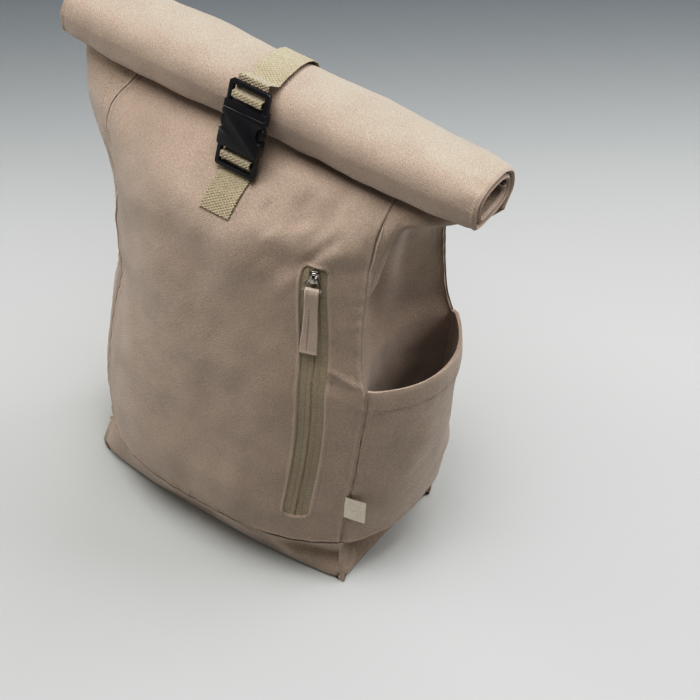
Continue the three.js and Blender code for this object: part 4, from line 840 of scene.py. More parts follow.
def base_panel():
    """The base: an upstand of four sides sewn at its corners, and a flat bottom with a soft edge."""
    counts = {"front": 150, "right": 76, "back": 110, "left": 76}
    rings, ways, highlit_and_worn = [], [], []
    for z in BASE_ROWS:
        ring, way, highlight_and_wear = [], [], []
        for panel, count in counts.items():
            t = np.arange(count) / count
            height = np.full(count, float(z))
            base = skin(panel, t, height)
            normal = skin_normal(panel, t, np.maximum(height, 1))
            normal[..., 2] = 0
            normal = unit(normal)
            axis = runs_across(panel)
            a = base[..., axis]
            ends = skin(panel, np.array([0.0, 1.0]), np.array([z, z], float))[..., axis]
            side = np.minimum(np.abs(a - ends[0]), np.abs(a - ends[1]))
            below = BAND_HEIGHT - z
            relief = seam_relief(below) + 0.4 * pucker(a, 3.4, 23, below, 7)
            relief = relief + 0.8 * hump(side, 1.2) - 0.6 * hump(side - 4, 2)
            loose = 1.1 * ripple(a, z, BAND_SEEDS[panel], 30, 90) + fold_relief(a, z, BAND_FOLDS[panel])
            relief = relief + loose * smoothstep(z, 0, 14)
            tucked = -2.2 * (1 - smoothstep(z, -1.2, 3.4))
            tucked = tucked - 5 * hump(side, 7) * hump(z, 6)
            ring.append(base + normal * (relief * smoothstep(z, -0.5, 2) + tucked)[..., None])
            way.append(normal)
            # Painted highlight at the sewn corners and on the turned edge under the seam
            highlight_and_wear.append(hump(side, 1.6) + hump(below - 3, 1.6))
        rings.append(np.concatenate(ring))
        ways.append(np.concatenate(way))
        highlit_and_worn.append(np.concatenate(highlight_and_wear))
    outer = np.array(rings)
    ways = np.array(ways)
    inner = outer - ways * CLOTH
    inner[..., 2] = np.maximum(inner[..., 2], CLOTH)
    n = outer.shape[1]
    count = len(BASE_ROWS)
    faces = tube_wall(count, n, (count - 1,)).tolist()
    middle = 2 * count * n
    for c in range(n):
        after = (c + 1) % n
        faces.append([middle, after, c])
        faces.append([middle + 1, c + count * n, after + count * n])
    points = np.concatenate([outer.reshape(-1, 3), inner.reshape(-1, 3), [[0, 0, 0.0], [0, 0, CLOTH]]])
    around = run_along(outer[count // 2])
    uv = np.stack(np.broadcast_arrays(around[None, :], np.array(BASE_ROWS)[:, None]), -1).reshape(-1, 2)
    flat = np.array([[0, 0], [0, 0]])
    highlight_and_wear = np.concatenate([np.array(highlit_and_worn).ravel(), np.zeros(count * n + 2)])
    mesh_object(
        "base_cloth", points, faces, canvas, ["base_panel"],
        uv=np.concatenate([uv, uv, flat]), highlight_and_wear=np.clip(highlight_and_wear, 0, 1),
    )


base_panel()


# Side pockets


def pocket_skin(panel, s, share):
    """The inside of a side pocket before its folds, at s from -1 to 1 and a share of its height."""
    s, share = np.broadcast_arrays(np.asarray(s, float), np.asarray(share, float))
    side = 1 if panel == "right" else -1
    z = BODY_BOTTOM + share * POCKET_HEIGHT
    row = section_at(z)
    bow = row_at(POCKET_BOWS, share)[..., 1] * POCKET_BOW[panel]
    edge = 0.988 * s
    y = lerp(row["front"], row["back"], (side * edge + 1) / 2) * HALF_DEPTH
    cloth = side * skin(panel, panel_t(panel, y, z), z)[..., 0]
    full = row[panel] * HALF_WIDTH + bow * arch(edge, 2.2)
    x = np.maximum(full, cloth + 3 * arch(edge, 2)) + TOUCH_GAP
    return np.stack([side * x, y, z], -1)


POCKET_FOLDS = {
    "right": [(-20, 205, 30, 214, 6, 0.8), (-50, 120, -20, 190, 9, -1.2), (34, 40, 52, 122, 26, 7)],
    "left": [(-20, 205, 30, 200, 8, -1.6), (-40, 110, 10, 160, 9, -2), (0, 60, 40, 100, 9, 1.4)],
}


HEM_WIDTH = 24


def pocket(panel):
    """A side pocket with a turned hem at its mouth; gives back its rows of stitches."""
    node = f"bottle_pocket_{panel}"
    eased = np.sin(math.pi / 2 * np.linspace(-1, 1, 91))
    shares = np.linspace(0, 1, 96)
    grid = pocket_skin(panel, eased[None, :], shares[:, None])
    normal = grid_normals(grid)
    y, z = grid[..., 1], grid[..., 2]
    top = BODY_BOTTOM + POCKET_HEIGHT
    side = np.minimum(np.abs(y - y[:, :1]), np.abs(y - y[:, -1:]))
    above = z - BODY_BOTTOM
    below = top - z
    under_hem = below - HEM_WIDTH
    hem = 0.9 * smoothstep(-under_hem, 0, 2.5) - 0.7 * hump(below - HEM_STITCH_DROP, 0.8)
    hem = hem + 0.35 * pucker(y, 3.2, 15, np.abs(under_hem), 7)
    seed = POCKET_SEEDS[panel]
    free = np.minimum(1, side / 18) * np.minimum(1, above / 18)
    soft = free * (1.0 * ripple(y, z, seed, 45, 130) + 0.3 * ripple(y, z, seed + 1, 16, 45))
    puckers = 0.4 * (pucker(z, 3, 14, side, 7) + pucker(y, 3.2, 17, above, 7))
    folds = fold_relief(y, z, POCKET_FOLDS[panel]) * free
    relief = hem + soft + puckers + folds + 0.5 * hump(above - 3, 2)
    relief = np.maximum(relief, -2.2)
    # Its raw edges are sewn into the side seams
    tucked = 2.4 * hump(side, 2.5)
    outer = grid + normal * (CLOTH + relief - tucked)[..., None]
    inner = grid + normal * (np.minimum(relief, 0) - tucked)[..., None]
    # Painted highlight along the pocket's turned mouth and its foot
    highlight_and_wear = hump(below - 0.8, 1.5) + hump(above - 2, 1.8)
    sheet_object(f"{panel}_pocket_cloth", outer, inner, canvas, [node], highlight_and_wear=np.clip(highlight_and_wear, 0, 1))
    middle = z.shape[1] // 2
    hem_row = np.argmin(np.abs(below[:, middle] - HEM_STITCH_DROP))
    foot_row = np.argmin(np.abs(above[:, middle] - POCKET_FOOT_STITCH))
    return [(outer[row], normal[row]) for row in (hem_row, foot_row)]


pocket_runs = pocket("right") + pocket("left")

# The rolled collar

PLY_HALF = CLOTH + PLY_GAP / 2
ROLL_PITCH = 2 * PLY_HALF + 1.2
ROLL_START = math.radians(-32)
ROLL_TILT = math.radians(5)
ROUND, SQUARE = 2.4, 6


def power_of(value, power):
    return np.sign(value) * np.abs(value) ** (2 / power)


def rolled(along, rise):
    """A point in the roll's own tilted section, as y and z."""
    cosine, sine = math.cos(ROLL_TILT), math.sin(ROLL_TILT)
    y = ROLL_CENTRE_Y + along * cosine - rise * sine
    return y, NECK_HEIGHT + ROLL_CENTRE_RISE + along * sine + rise * cosine


def roll_path(steps):
    turns = ROLL_TURNS * np.linspace(0, 1, steps + 1)
    angle = ROLL_START + turns * 2 * math.pi
    cosine, sine = np.cos(angle), np.sin(angle)
    lower_front = smoothstep(-cosine, -0.3, 0.6) * smoothstep(-sine, -0.3, 0.6)
    power = lerp(ROUND, SQUARE, lower_front)
    along = (ROLL_DEPTH / 2 - PLY_HALF - ROLL_PITCH * turns) * power_of(cosine, power)
    rise = (ROLL_RISE / 2 - PLY_HALF - ROLL_PITCH * turns) * power_of(sine, power)
    y, z = rolled(along, rise)
    lead = np.linspace(0, 1, 7)[:-1]
    y = np.concatenate([lerp(NECK_SETBACK, y[0], lead), y])
    z = np.concatenate([lerp(NECK_HEIGHT + SEAM_GAP, z[0], lead), z])
    turns = np.concatenate([lead * 0, turns])
    return np.stack([y, z], -1), turns


def roll_top():
    """Both plies of the collar wound together, open at the ends, with a seam inside each end."""
    path, turns = roll_path(190)
    rows = len(path)
    across = 64
    shares = np.sin(math.pi / 2 * np.linspace(-1, 1, across + 1))
    step = np.gradient(path, axis=0)
    side = unit(np.stack([-step[:, 1], step[:, 0]], -1))
    side[0] = (-1, 0)

    def loop(half, short, relief):
        front_x = shares * (ROLL_LENGTH / 2 - short)
        tip = front_x[-1] + 0.7 * half
        x = np.concatenate([front_x, [tip], -front_x, [-tip]])
        way = np.concatenate([np.ones(across + 1), [0], -np.ones(across + 1), [0]])
        size = row_at(ROLL_TAPER, np.clip(np.abs(x) / (ROLL_LENGTH / 2), 0, 1))[:, 1]
        x, way, size = (np.broadcast_to(value, (rows, len(value))) for value in (x, way, size))
        stand = way * half + np.sign(way) * relief(x, way)
        anchor = path[0]
        y = anchor[0] + (path[:, :1] - anchor[0] + stand * side[:, :1]) * size
        z = anchor[1] + (path[:, 1:] - anchor[1] + stand * side[:, 1:]) * size
        return np.stack([x, y, z], -1)

    run = run_along(path)[:, None]

    def folds(x, way):
        from_end = ROLL_LENGTH / 2 - np.abs(x)
        seam = -0.9 * hump(from_end - ROLL_END_INSET, 0.9) + 0.4 * hump(from_end - 2.5, 1.5)
        outside = (way < 0) * (turns[:, None] < 1.02)
        soft = 0.9 * ripple(x, run, 51, 60, 170) + 0.35 * ripple(x, run, 52, 20, 60)
        pull = 0.5 * pucker(run, 4, 15, np.abs(from_end - 6), 7)
        start = smoothstep(run, 4, 30)
        shallow = np.where(outside, 1.0, 0.3)
        return np.clip((soft * outside + pull * outside) * start + seam * shallow, -1.4, 2.2)

    def none(x, way):
        return np.zeros_like(x)

    outer = loop(PLY_HALF, 0.7 * PLY_HALF, folds)
    inner = loop(PLY_GAP / 2, CLOTH + 0.35 * PLY_GAP, none)
    n = outer.shape[1]
    points = np.concatenate([outer.reshape(-1, 3), inner.reshape(-1, 3)])
    around = np.broadcast_to(run_along(outer[0]), (rows, n))
    uv = np.stack([around, np.broadcast_to(run, (rows, n))], -1).reshape(-1, 2)
    from_end = ROLL_LENGTH / 2 - np.abs(outer[..., 0])
    # Painted highlight along the roll's open ends
    highlight_and_wear = hump(from_end, 1.8).ravel()
    mesh_object(
        "roll_cloth", points, tube_wall(rows, n, (0, rows - 1)), canvas, ["roll_top"],
        uv=np.concatenate([uv, uv]), highlight_and_wear=np.concatenate([highlight_and_wear, highlight_and_wear * 0]), sharp=60,
    )
    # The outermost turn is sewn along both ends
    turn = np.where((turns < 0.97) & (run[:, 0] > 12))[0]
    out = np.pad(-side[turn], ((0, 0), (1, 0)))
    runs = []
    for x in (ROLL_LENGTH / 2 - ROLL_END_INSET, ROLL_END_INSET - ROLL_LENGTH / 2):
        column = np.argmin(np.abs(outer[10, across + 1 :, 0] - x)) + across + 1
        runs.append((outer[turn, column], out))
    return runs


roll_runs = roll_top()


# Bands: webbing, straps and tabs


def rounded_line(points, radius, steps):
    """A line through points with each corner rounded off."""
    points = np.array(points, float)
    line = [points[0]]
    for i in range(1, len(points) - 1):
        before, after = points[i - 1] - points[i], points[i + 1] - points[i]
        lengths = np.linalg.norm(before), np.linalg.norm(after)
        turn = math.pi - math.acos(np.clip(before @ after / (lengths[0] * lengths[1]), -1, 1))
        cut = min(radius * math.tan(turn / 2), 0.45 * lengths[0], 0.45 * lengths[1])
        if turn < math.radians(4):
            line.append(points[i])
            continue
        start = points[i] + before / lengths[0] * cut
        end = points[i] + after / lengths[1] * cut
        for t in np.linspace(0, 1, steps + 1):
            line.append((1 - t) ** 2 * start + 2 * t * (1 - t) * points[i] + t**2 * end)
    line.append(points[-1])
    return np.array(line)


def smooth_line(points, count):
    """An even smooth curve through points, as a centripetal Catmull-Rom spline."""
    points = np.array(points, float)
    ends = [2 * points[0] - points[1], *points, 2 * points[-1] - points[-2]]
    line = []
    for i in range(1, len(ends) - 2):
        p = np.array(ends[i - 1 : i + 3])
        knots = np.concatenate([[0], np.cumsum(np.linalg.norm(np.diff(p, axis=0), axis=1) ** 0.5)])
        for t in np.linspace(knots[1], knots[2], 24, endpoint=i == len(ends) - 3):
            a = [lerp(p[k], p[k + 1], (t - knots[k]) / (knots[k + 1] - knots[k])) for k in range(3)]
            b = [lerp(a[k], a[k + 1], (t - knots[k]) / (knots[k + 2] - knots[k])) for k in range(2)]
            line.append(lerp(b[0], b[1], (t - knots[1]) / (knots[2] - knots[1])))
    return evenly(np.array(line), count)


def evenly(line, count):
    """The same line with count points at even distances."""
    run = run_along(line)
    return points_at(line, run, np.linspace(0, run[-1], count))


def band_frames(line, across):
    ways = unit(np.diff(line, axis=0))
    before = ways[np.maximum(np.arange(len(line)) - 1, 0)]
    after = ways[np.minimum(np.arange(len(line)), len(ways) - 1)]
    along = unit(before + after)
    out = unit(np.cross(along, across))
    stretch = 1 / np.maximum(np.sum(along * before, -1, keepdims=True), 0.3)
    side = unit(np.cross(out, along))
    return out, side, stretch


def webbing_relief(u, v, width):
    """Woven webbing: ribs across in a broken zigzag, and a thicker selvedge."""
    lane = np.abs((u / WEBBING_LANE) % 2 - 1)
    ribs = 0.16 * np.sin(2 * math.pi * (v / WEBBING_RIB + 0.9 * lane))
    cords = 0.1 * np.cos(2 * math.pi * u / WEBBING_CORD)
    selvedge = 0.14 * hump(width / 2 - np.abs(u), 0.9)
    return ribs + cords + selvedge - 0.26


def band(
    name, line, across, width_at, thickness, material, node, relief, highlight_and_wear, columns, spacing, edge=0.35
):
    """A flat band along a line: a closed piece with rounded edges, its cloth relief on both faces."""
    run = run_along(line)[-1]
    line = evenly(line, max(12, int(run / spacing)))
    out, side, stretch = band_frames(line, np.array(across, float))
    rows = len(line)
    lengths = np.linspace(0, run, rows)
    widths = np.array([width_at(k / (rows - 1)) for k in range(rows)])
    # The section goes once round: along the face, over an edge, back along the underside
    shares = np.linspace(-1, 1, columns + 1)
    u = np.concatenate([shares, shares[::-1]])
    v = np.concatenate([np.ones(columns + 1), -np.ones(columns + 1)])
    fall = np.clip((1 - np.abs(u)) / (edge * thickness / max(widths.max() / 2, 1)), 0, 1)
    full = lerp(0.25, 1, (1 - (1 - fall) ** 2) ** 0.5)
    across_mm = u[None, :] * widths[:, None] / 2
    place = across_mm, lengths[:, None], widths[:, None]
    stand = (v * full)[None, :] * (thickness / 2 + relief(*place))
    points = line[:, None] + side[:, None] * across_mm[..., None]
    points = points + out[:, None] * stretch[:, None] * stand[..., None]
    n = len(u)
    faces = loop_faces(rows, n)[:, ::-1].tolist()
    for start, flip in ((0, False), ((rows - 1) * n, True)):
        for c in range(columns):
            quad = [start + c, start + c + 1, start + n - 2 - c, start + n - 1 - c]
            faces.append(quad[::-1] if flip else quad)
    # The underside's cloth has its own place in the weave
    underside = np.where(v > 0, 0, 200)[None, :]
    uv = np.stack(np.broadcast_arrays(across_mm + underside, lengths[:, None]), -1)
    piece = mesh_object(
        name, points.reshape(-1, 3), faces, material, [node], uv.reshape(-1, 2), highlight_and_wear(*place), 55
    )
    return piece, line, out, side


def on_cloth(panel, x, z):
    return skin(panel, panel_t(panel, x, z), z)


def cloth_frame(panel, x, z, stand=0.0):
    """A frame lying on the front or back: its place, and the ways across, up and out of the cloth."""
    reach = 6
    across = unit(on_cloth(panel, x + reach, z) - on_cloth(panel, x - reach, z))
    up = unit(on_cloth(panel, x, z + reach) - on_cloth(panel, x, z - reach))
    out = unit(np.cross(across, up))
    if panel == "back":
        out = -out
    return on_cloth(panel, x, z) + out * stand, across, up, out


ACROSS_BAG = (1, 0, 0)
buckle_up = np.array([0, math.sin(BUCKLE_LEAN), math.cos(BUCKLE_LEAN)])
buckle_out = np.cross(ACROSS_BAG, buckle_up)
buckle_foot = cloth_frame("front", 0, NECK_HEIGHT - BUCKLE_DROP, BUCKLE_STAND)[0]
PLUG_TOP = LADDER_LENGTH - LADDER_BAR + BUCKLE_SOCKET_LENGTH + PLUG_CLEAR + LADDER_LENGTH


def on_buckle(v, w):
    return buckle_foot + buckle_up * v + buckle_out * w


# Middle planes of webbing: laid on cloth, on another ply, over a ladder's bar and in its slot
LAID_STAND = LAID_CLEAR + WEBBING_THICKNESS / 2
PLY_STEP = WEBBING_THICKNESS + TOUCH_GAP
BAR_STAND = LADDER_THICKNESS / 2 + TOUCH_GAP + WEBBING_THICKNESS / 2
SLOT_STAND = TOUCH_GAP + WEBBING_THICKNESS / 2
LOW_MIDDLE_BAR = LADDER_BAR + LADDER_SLOT
HIGH_MIDDLE_BAR = 2 * LADDER_BAR + LADDER_SLOT
BEND = 1.6


def webbing_band(name, line, width, node, across=ACROSS_BAG, bend=BEND, steps=5):
    """Webbing along the corners of a line, each bent round."""
    band(
        name, rounded_line(line, bend, steps), across, lambda share: width, WEBBING_THICKNESS,
        webbing, node, relief=webbing_relief,
        # Painted highlight along the selvedges
        highlight_and_wear=lambda u, v, w: hump(w / 2 - np.abs(u), 0.8) * 0.5 + v * 0,
        columns=int(width / 0.65), spacing=0.7, edge=1.0,
    )


def closure_tab():
    """Webbing up from the front, round the buckle's ladder and back down on itself."""
    rises = (0, 6, 12)
    sewn = NECK_HEIGHT - TAB_DROP
    under, over = (
        [cloth_frame("front", 0, sewn + rise, stand)[0] for rise in rises]
        for stand in (LAID_STAND, LAID_STAND + PLY_STEP)
    )
    bars = [
        on_buckle(-3, -BAR_STAND - PLY_STEP),
        on_buckle(HIGH_MIDDLE_BAR + SLOT_STAND, -BAR_STAND - PLY_STEP),
        on_buckle(HIGH_MIDDLE_BAR + SLOT_STAND, BAR_STAND),
        on_buckle(LOW_MIDDLE_BAR - SLOT_STAND, BAR_STAND),
        on_buckle(LOW_MIDDLE_BAR - SLOT_STAND, -BAR_STAND),
        on_buckle(-3, -BAR_STAND),
    ]
    line = [*under, *bars, *over[::-1]]
    webbing_band("closure_tab_webbing", line, WEBBING_WIDTH, "closure_tab")


def closure_strap():
    """Webbing from the back, over the roll and round the plug's ladder."""
    heights = np.array([0.835, 0.87, 0.905, 0.94]) * NECK_HEIGHT
    sewn = [cloth_frame("back", 0, height, LAID_STAND)[0] for height in heights]
    over = []
    for degrees in (-14, 8, 26, 42, 58, 76, 96, 112):
        angle = math.radians(degrees)
        along = (ROLL_DEPTH / 2 + LAID_STAND) * power_of(math.cos(angle), ROUND)
        rise = (ROLL_RISE / 2 + LAID_STAND) * power_of(math.sin(angle), ROUND)
        over.append((0, *rolled(along, rise)))
    bars = [
        on_buckle(PLUG_TOP + 6, -BAR_STAND),
        on_buckle(PLUG_TOP - LOW_MIDDLE_BAR + SLOT_STAND, -BAR_STAND),
        on_buckle(PLUG_TOP - LOW_MIDDLE_BAR + SLOT_STAND, BAR_STAND),
        on_buckle(PLUG_TOP - HIGH_MIDDLE_BAR - SLOT_STAND, BAR_STAND),
        on_buckle(PLUG_TOP - HIGH_MIDDLE_BAR - SLOT_STAND, -BAR_STAND - PLY_STEP),
        on_buckle(PLUG_TOP - LOW_MIDDLE_BAR, -BAR_STAND - PLY_STEP),
    ]
    webbing_band("closure_strap_webbing", [*sewn, *over, *bars], WEBBING_WIDTH, "closure_strap")


closure_tab()
closure_strap()

# The buckle and the ladder locks keep their solids' shape, with every edge eased as moulded


def eased_copy(node, name, material, ease_mm):
    """A moulded or cast piece in its solid's shape, its edges rounded by so many millimetres."""
    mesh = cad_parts[node].data.copy()
    piece = bpy.data.objects.new(name, mesh)
    bpy.context.scene.collection.objects.link(piece)
    mesh.materials.clear()
    mesh.materials.append(material)
    weld = piece.modifiers.new("weld", "WELD")
    weld.merge_threshold = 1e-5
    ease = piece.modifiers.new("ease", "BEVEL")
    ease.width = ease_mm * MM
    ease.segments = 2
    ease.limit_method = "ANGLE"
    ease.angle_limit = math.radians(34)
    bpy.context.view_layer.update()
    made = piece.evaluated_get(bpy.context.evaluated_depsgraph_get())
    finished = bpy.data.meshes.new_from_object(made)
    piece.modifiers.clear()
    piece.data = finished
    finished.name = name
    finished.polygons.foreach_set("use_smooth", np.ones(len(finished.polygons), bool))
    finished.set_sharp_from_angle(angle=math.radians(40))
    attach(piece, "root")
    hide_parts(node)


eased_copy("buckle_socket", "buckle_socket_moulding", acetal, 0.6)
eased_copy("buckle_plug", "buckle_plug_moulding", acetal, 0.5)
for side in ("right", "left"):
    eased_copy(f"strap_adjuster_{side}", f"ladder_lock_{side}", acetal, 0.7)
eased_copy("zip_slider", "zip_slider_casting", black_nickel, 0.35)
eased_copy("zip_pull_loop", "zip_pull_wire", black_nickel, 0.4)

# The zip

# How far the tape's face and the coil stand off the panel's outside
TAPE_TOP = -CLOTH - TOUCH_GAP
COIL_STAND = -CLOTH
SLIDER_HEIGHT = ZIP_TOP - SLIDER_DROP


def zip_tapes():
    """Two ribbed tapes that meet along the middle over the coil."""
    z = np.linspace(ZIP_BOTTOM - 5, ZIP_TOP + 5, 300)
    half = ZIP_TAPE_WIDTH / 2
    outwards = np.linspace(0.2, 1, 15)
    u = half * np.concatenate([-outwards[::-1], np.linspace(-0.19, 0.19, 21), outwards])
    meeting = 0.75 * hump(np.abs(u) - 1.6, 1.3) - 0.5 * hump(u, 0.45)
    sewn = -0.18 * hump(np.abs(u) - TAPE_STITCH_PLACE, 0.35)
    edges = np.array([-half, 0, half])
    rows, outs = [], []
    for height in z:
        out = cloth_frame("front", zip_x(height), height)[3]
        spots = on_cloth("front", zip_x(height) + edges, np.full(3, height))
        ribs = 0.05 * math.sin(2 * math.pi * height / 2.2) * np.minimum(1, np.abs(u) / 3)
        stand = TAPE_TOP + np.clip(meeting + sewn + ribs, -0.5, 0.9)
        rows.append(points_at(spots, edges, u) + out * stand[:, None])
        outs.append(out)
    outer, outs = np.array(rows), np.array(outs)
    inner = outer - outs[:, None] * 0.5
    sheet_object("zip_tape_cloth", outer, inner, zip_tape, ["zip_tape"])
    inside = (z > ZIP_BOTTOM + 2) & (z < ZIP_TOP - 2)
    columns = [np.argmin(np.abs(u - place)) for place in (-TAPE_STITCH_PLACE, TAPE_STITCH_PLACE)]
    return [(outer[inside, column], outs[inside]) for column in columns]


zip_runs = zip_tapes()


def zip_teeth():
    """The coil's loops, bedded between the tapes' two edges."""
    z = np.arange(ZIP_BOTTOM + 2, ZIP_TOP - 2, COIL_PITCH)
    points, faces = [], []
    for k, height in enumerate(z):
        place, across, up, out = cloth_frame("front", zip_x(height), height, TAPE_TOP + 0.2)
        reach = 1 if k % 2 else -1
        rings = []
        for share, full in ((0, 0.3), (0.15, 0.8), (0.5, 1), (0.85, 0.8), (1, 0.3)):
            bowed = out * 0.25 * math.sin(math.pi * share)
            rings.append((place + across * lerp(-0.7, 2.1, share) * reach + bowed, COIL_WIRE / 2 * full))
        add_tube(points, faces, rings, up, out, 8, flip=reach > 0)
    points = np.array(points)
    mesh_object("zip_coil_loops", points, faces, zip_tape, ["zip_coil"], uv=points[:, [0, 2]])


zip_teeth()

PULL_DROP = LOOP_LENGTH - LOOP_WIRE / 2


def pull_tab():
    """The pull's cloth tab: folded through the wire loop, sewn, with its cut end a little frayed."""
    ply = 1.0
    off = LOOP_WIRE / 2 + TOUCH_GAP + ply / 2
    slider_top = COIL_STAND + COIL_THICKNESS + TOUCH_GAP + SLIDER_THICKNESS
    loop_top = SLIDER_HEIGHT + LOOP_WIRE / 2
    place, across, _, out = cloth_frame("front", zip_x(loop_top), loop_top, slider_top + SLIDER_TUNNEL / 2)
    up = np.cross(out, across)
    place = place - up * PULL_DROP
    hanging = []
    for share in (0.3, 0.65, 1):
        z = loop_top - PULL_DROP - share * PULL_LENGTH
        hanging.append(cloth_frame("front", zip_x(z) - PULL_SLANT * share, z, 2.4)[0])
    turns = [(-12, -off + 0.2), (off, -off), (off, off), (-3, off)]
    line = rounded_line([place + up * rise + out * stand for rise, stand in turns] + hanging, 1, 5)

    def relief(u, v, w):
        turned = 0.35 * hump(w / 2 - np.abs(u) - 1.2, 0.9)
        waves = 0.25 * np.sin(v / 5.5 + u / 4) + 0.12 * ripple(u, v, 61, 6, 18)
        seam = -0.25 * hump(u + 1.5, 0.5) * smoothstep(v, 34, 40)
        return turned * 0.6 + waves * 0.5 + seam

    def highlit_and_worn(u, v, w):
        """Paler all over as painted light, where the tab stands out and catches the light, and paler still
        at its fold, its edges and its frayed cut end.
        """
        paler_fold_and_edges = 1.1 * hump(v - 16, 6) + 0.6 * hump(w / 2 - np.abs(u), 1.0)
        return np.clip(1.5 + 2.5 * hump(v - v.max(), 2.2) + paler_fold_and_edges, 0, 3)

    _, line, outs, sides = band(
        "zip_pull_cloth", line, across,
        lambda share: lerp(PULL_NECK, PULL_WIDTH, smoothstep(share, 0.5, 0.9)),
        ply, canvas, "zip_pull_tab", relief, highlit_and_worn, columns=20, spacing=0.7,
    )
    sewn = slice(int(len(line) * 0.45), int(len(line) * 0.97))
    seam = line[sewn] - sides[sewn] * 1.5 + outs[sewn] * 0.55
    return [(seam, outs[sewn])], line, outs, sides


tab_runs, tab_line, tab_outs, tab_sides = pull_tab()


def frayed_end():
    """Short loose yarns along the pull's cut end."""
    draw = np.random.default_rng(17)
    end, out, side = tab_line[-1], tab_outs[-1], tab_sides[-1]
    way = unit(tab_line[-1] - tab_line[-3])
    points, faces = [], []
    for share in np.linspace(-0.98, 0.98, 44):
        root = end - way * 0.6 + side * share * 7.4 + out * draw.uniform(-0.3, 0.3)
        tip = root + way * draw.uniform(1.2, 2.3)
        tip = tip + side * draw.uniform(-0.7, 0.7) + out * draw.uniform(-0.2, 0.5)
        rings = [(root, 0.26), (lerp(root, tip, 0.5) + out * 0.1, 0.22), (tip, 0.06)]
        add_tube(points, faces, rings, side, out, 5)
    mesh_object("zip_pull_frayed_yarns", points, faces, raw_yarn)


frayed_end()


def side_label():
    """The blank woven label: a folded tape that stands out of the right front seam."""
    middle = LABEL_BOTTOM + LABEL_HEIGHT / 2
    seam = float(section_at(middle)["right"]) * HALF_WIDTH
    root = on_cloth("front", seam - 1.5, middle) + np.array([0, -TOUCH_GAP, 0])
    turn = math.radians(14)
    along = np.array([math.cos(turn), math.sin(turn), 0])
    off = np.array([-math.sin(turn), math.cos(turn), 0])
    u = np.linspace(0, 1, 29)[None, :] * LABEL_WIDTH
    v = np.linspace(-0.5, 0.5, 37)[:, None] * LABEL_HEIGHT
    curl = 0.35 * np.sin(math.pi * u / LABEL_WIDTH) + 0.25 * np.sin(v / 6 + u / 9) * u / LABEL_WIDTH
    edge = np.clip(np.minimum(LABEL_HEIGHT / 2 - np.abs(v), LABEL_WIDTH - u), 0, 2)
    puff = LABEL_THICKNESS * (0.5 + 0.14 * edge - 0.12 * hump(edge - 1.4, 0.3))
    half = puff / 2 - LABEL_THICKNESS / 4
    base = root + along * u[..., None] + np.array([0, 0, 1]) * v[..., None]
    front, back = (
        base - off * (LABEL_THICKNESS / 2 + curl * 0.6 + stand)[..., None] for stand in (half, -half)
    )
    sheet_object("side_label_tape", front, back, label_tape, ["side_label"])


side_label()

# The back: pad, shoulder straps, lower webbing and grab handle


AWAY_FROM_BACK = np.array([0, 1.0, 0])
PAD_SQUARE = 20 / 3


def back_pad():
    """A padded panel with three sewn channels; gives back its rows of stitches."""
    rows, columns = 131, 101
    z = np.linspace(PAD_BOTTOM, PAD_TOP, rows)[:, None]
    s = np.linspace(1, -1, columns)[None, :]
    place = on_cloth("back", s * PAD_WIDTH / 2 + z * 0, z + s * 0)
    x, height = place[..., 0], place[..., 2]
    middle = (PAD_BOTTOM + PAD_TOP) / 2
    tall = PAD_TOP - PAD_BOTTOM
    outside = outside_rounded(x, height - middle, PAD_WIDTH / 2, tall / 2, PAD_CORNER)
    inside = np.maximum(-outside, 0)
    crown = 0.3 + 0.7 * np.sqrt(np.clip(1 - (1 - np.clip(inside / 16, 0, 1)) ** 2, 0, 1))
    levels = lerp(PAD_BOTTOM, PAD_TOP, np.array(CHANNELS))
    sunk = sum(hump(height - level, 4.5) for level in levels) * smoothstep(inside, 4, 14)
    tucks = 0.35 * pucker(x, 3.4, 21) * np.clip(sunk, 0, 1)
    soft = 0.5 * ripple(x, height, 71, 30, 90) * smoothstep(inside, 6, 24)
    thick = PAD_THICKNESS * crown - CHANNEL_DEPTH * sunk + tucks + soft
    outer = place + AWAY_FROM_BACK * (LAID_CLEAR + thick)[..., None]
    inner = place + AWAY_FROM_BACK * LAID_CLEAR
    piece = sheet_object(
        "back_pad_cloth", outer, inner, padded_canvas, ["back_pad"],
        # Painted highlight round the pad's rounded rim
        highlight_and_wear=hump(inside - 1, 1.5), keep=np.all(corners_of(outside <= 0.01), axis=0),
    )
    # Stitches along each channel, then all round inside the edge
    lines = [outer[round(share * (rows - 1)), 8:-8] for share in CHANNELS]
    turns = np.linspace(0, 2 * math.pi, 240)
    ring_x = (PAD_WIDTH / 2 - PAD_STITCH_INSET) * power_of(np.cos(turns), PAD_SQUARE)
    ring_z = middle + (tall / 2 - PAD_STITCH_INSET) * power_of(np.sin(turns), PAD_SQUARE)
    ring = on_cloth("back", ring_x, ring_z)
    column = ((0.5 - ring_x / PAD_WIDTH) * (columns - 1)).round().astype(int)
    row = ((ring_z - PAD_BOTTOM) / tall * (rows - 1)).round().astype(int)
    ring[:, 1] = outer[row, column, 1]
    return [(line, np.tile(AWAY_FROM_BACK, (len(line), 1))) for line in [*lines, ring]]


pad_runs = back_pad()

# The strap's middle line: outwards and off the back in millimetres, and height as a share
SHOULDER_LINE = [
    (0, 0, 0.835), (0, 1, 0.848), (1, 9, 0.868), (2, 21, 0.856), (7, 31, 0.8),
    (13, 33, 0.7), (18, 31, 0.56), (21, 28, 0.42), (23, 25, 0.3),
]


def shoulder_width(share):
    """A strap narrows over the lower part of its length."""
    return SHOULDER_WIDTH * (1 - 0.3 * smoothstep(share, 0.55, 1))


def shoulder_line(side):
    line = []
    for out, off, height in SHOULDER_LINE:
        point = on_cloth("back", side * SHOULDER_SPREAD, height * NECK_HEIGHT)
        line.append(point + np.array([side * out, SHOULDER_THICKNESS / 2 + LAID_CLEAR + off, 0]))
    return np.array(line)


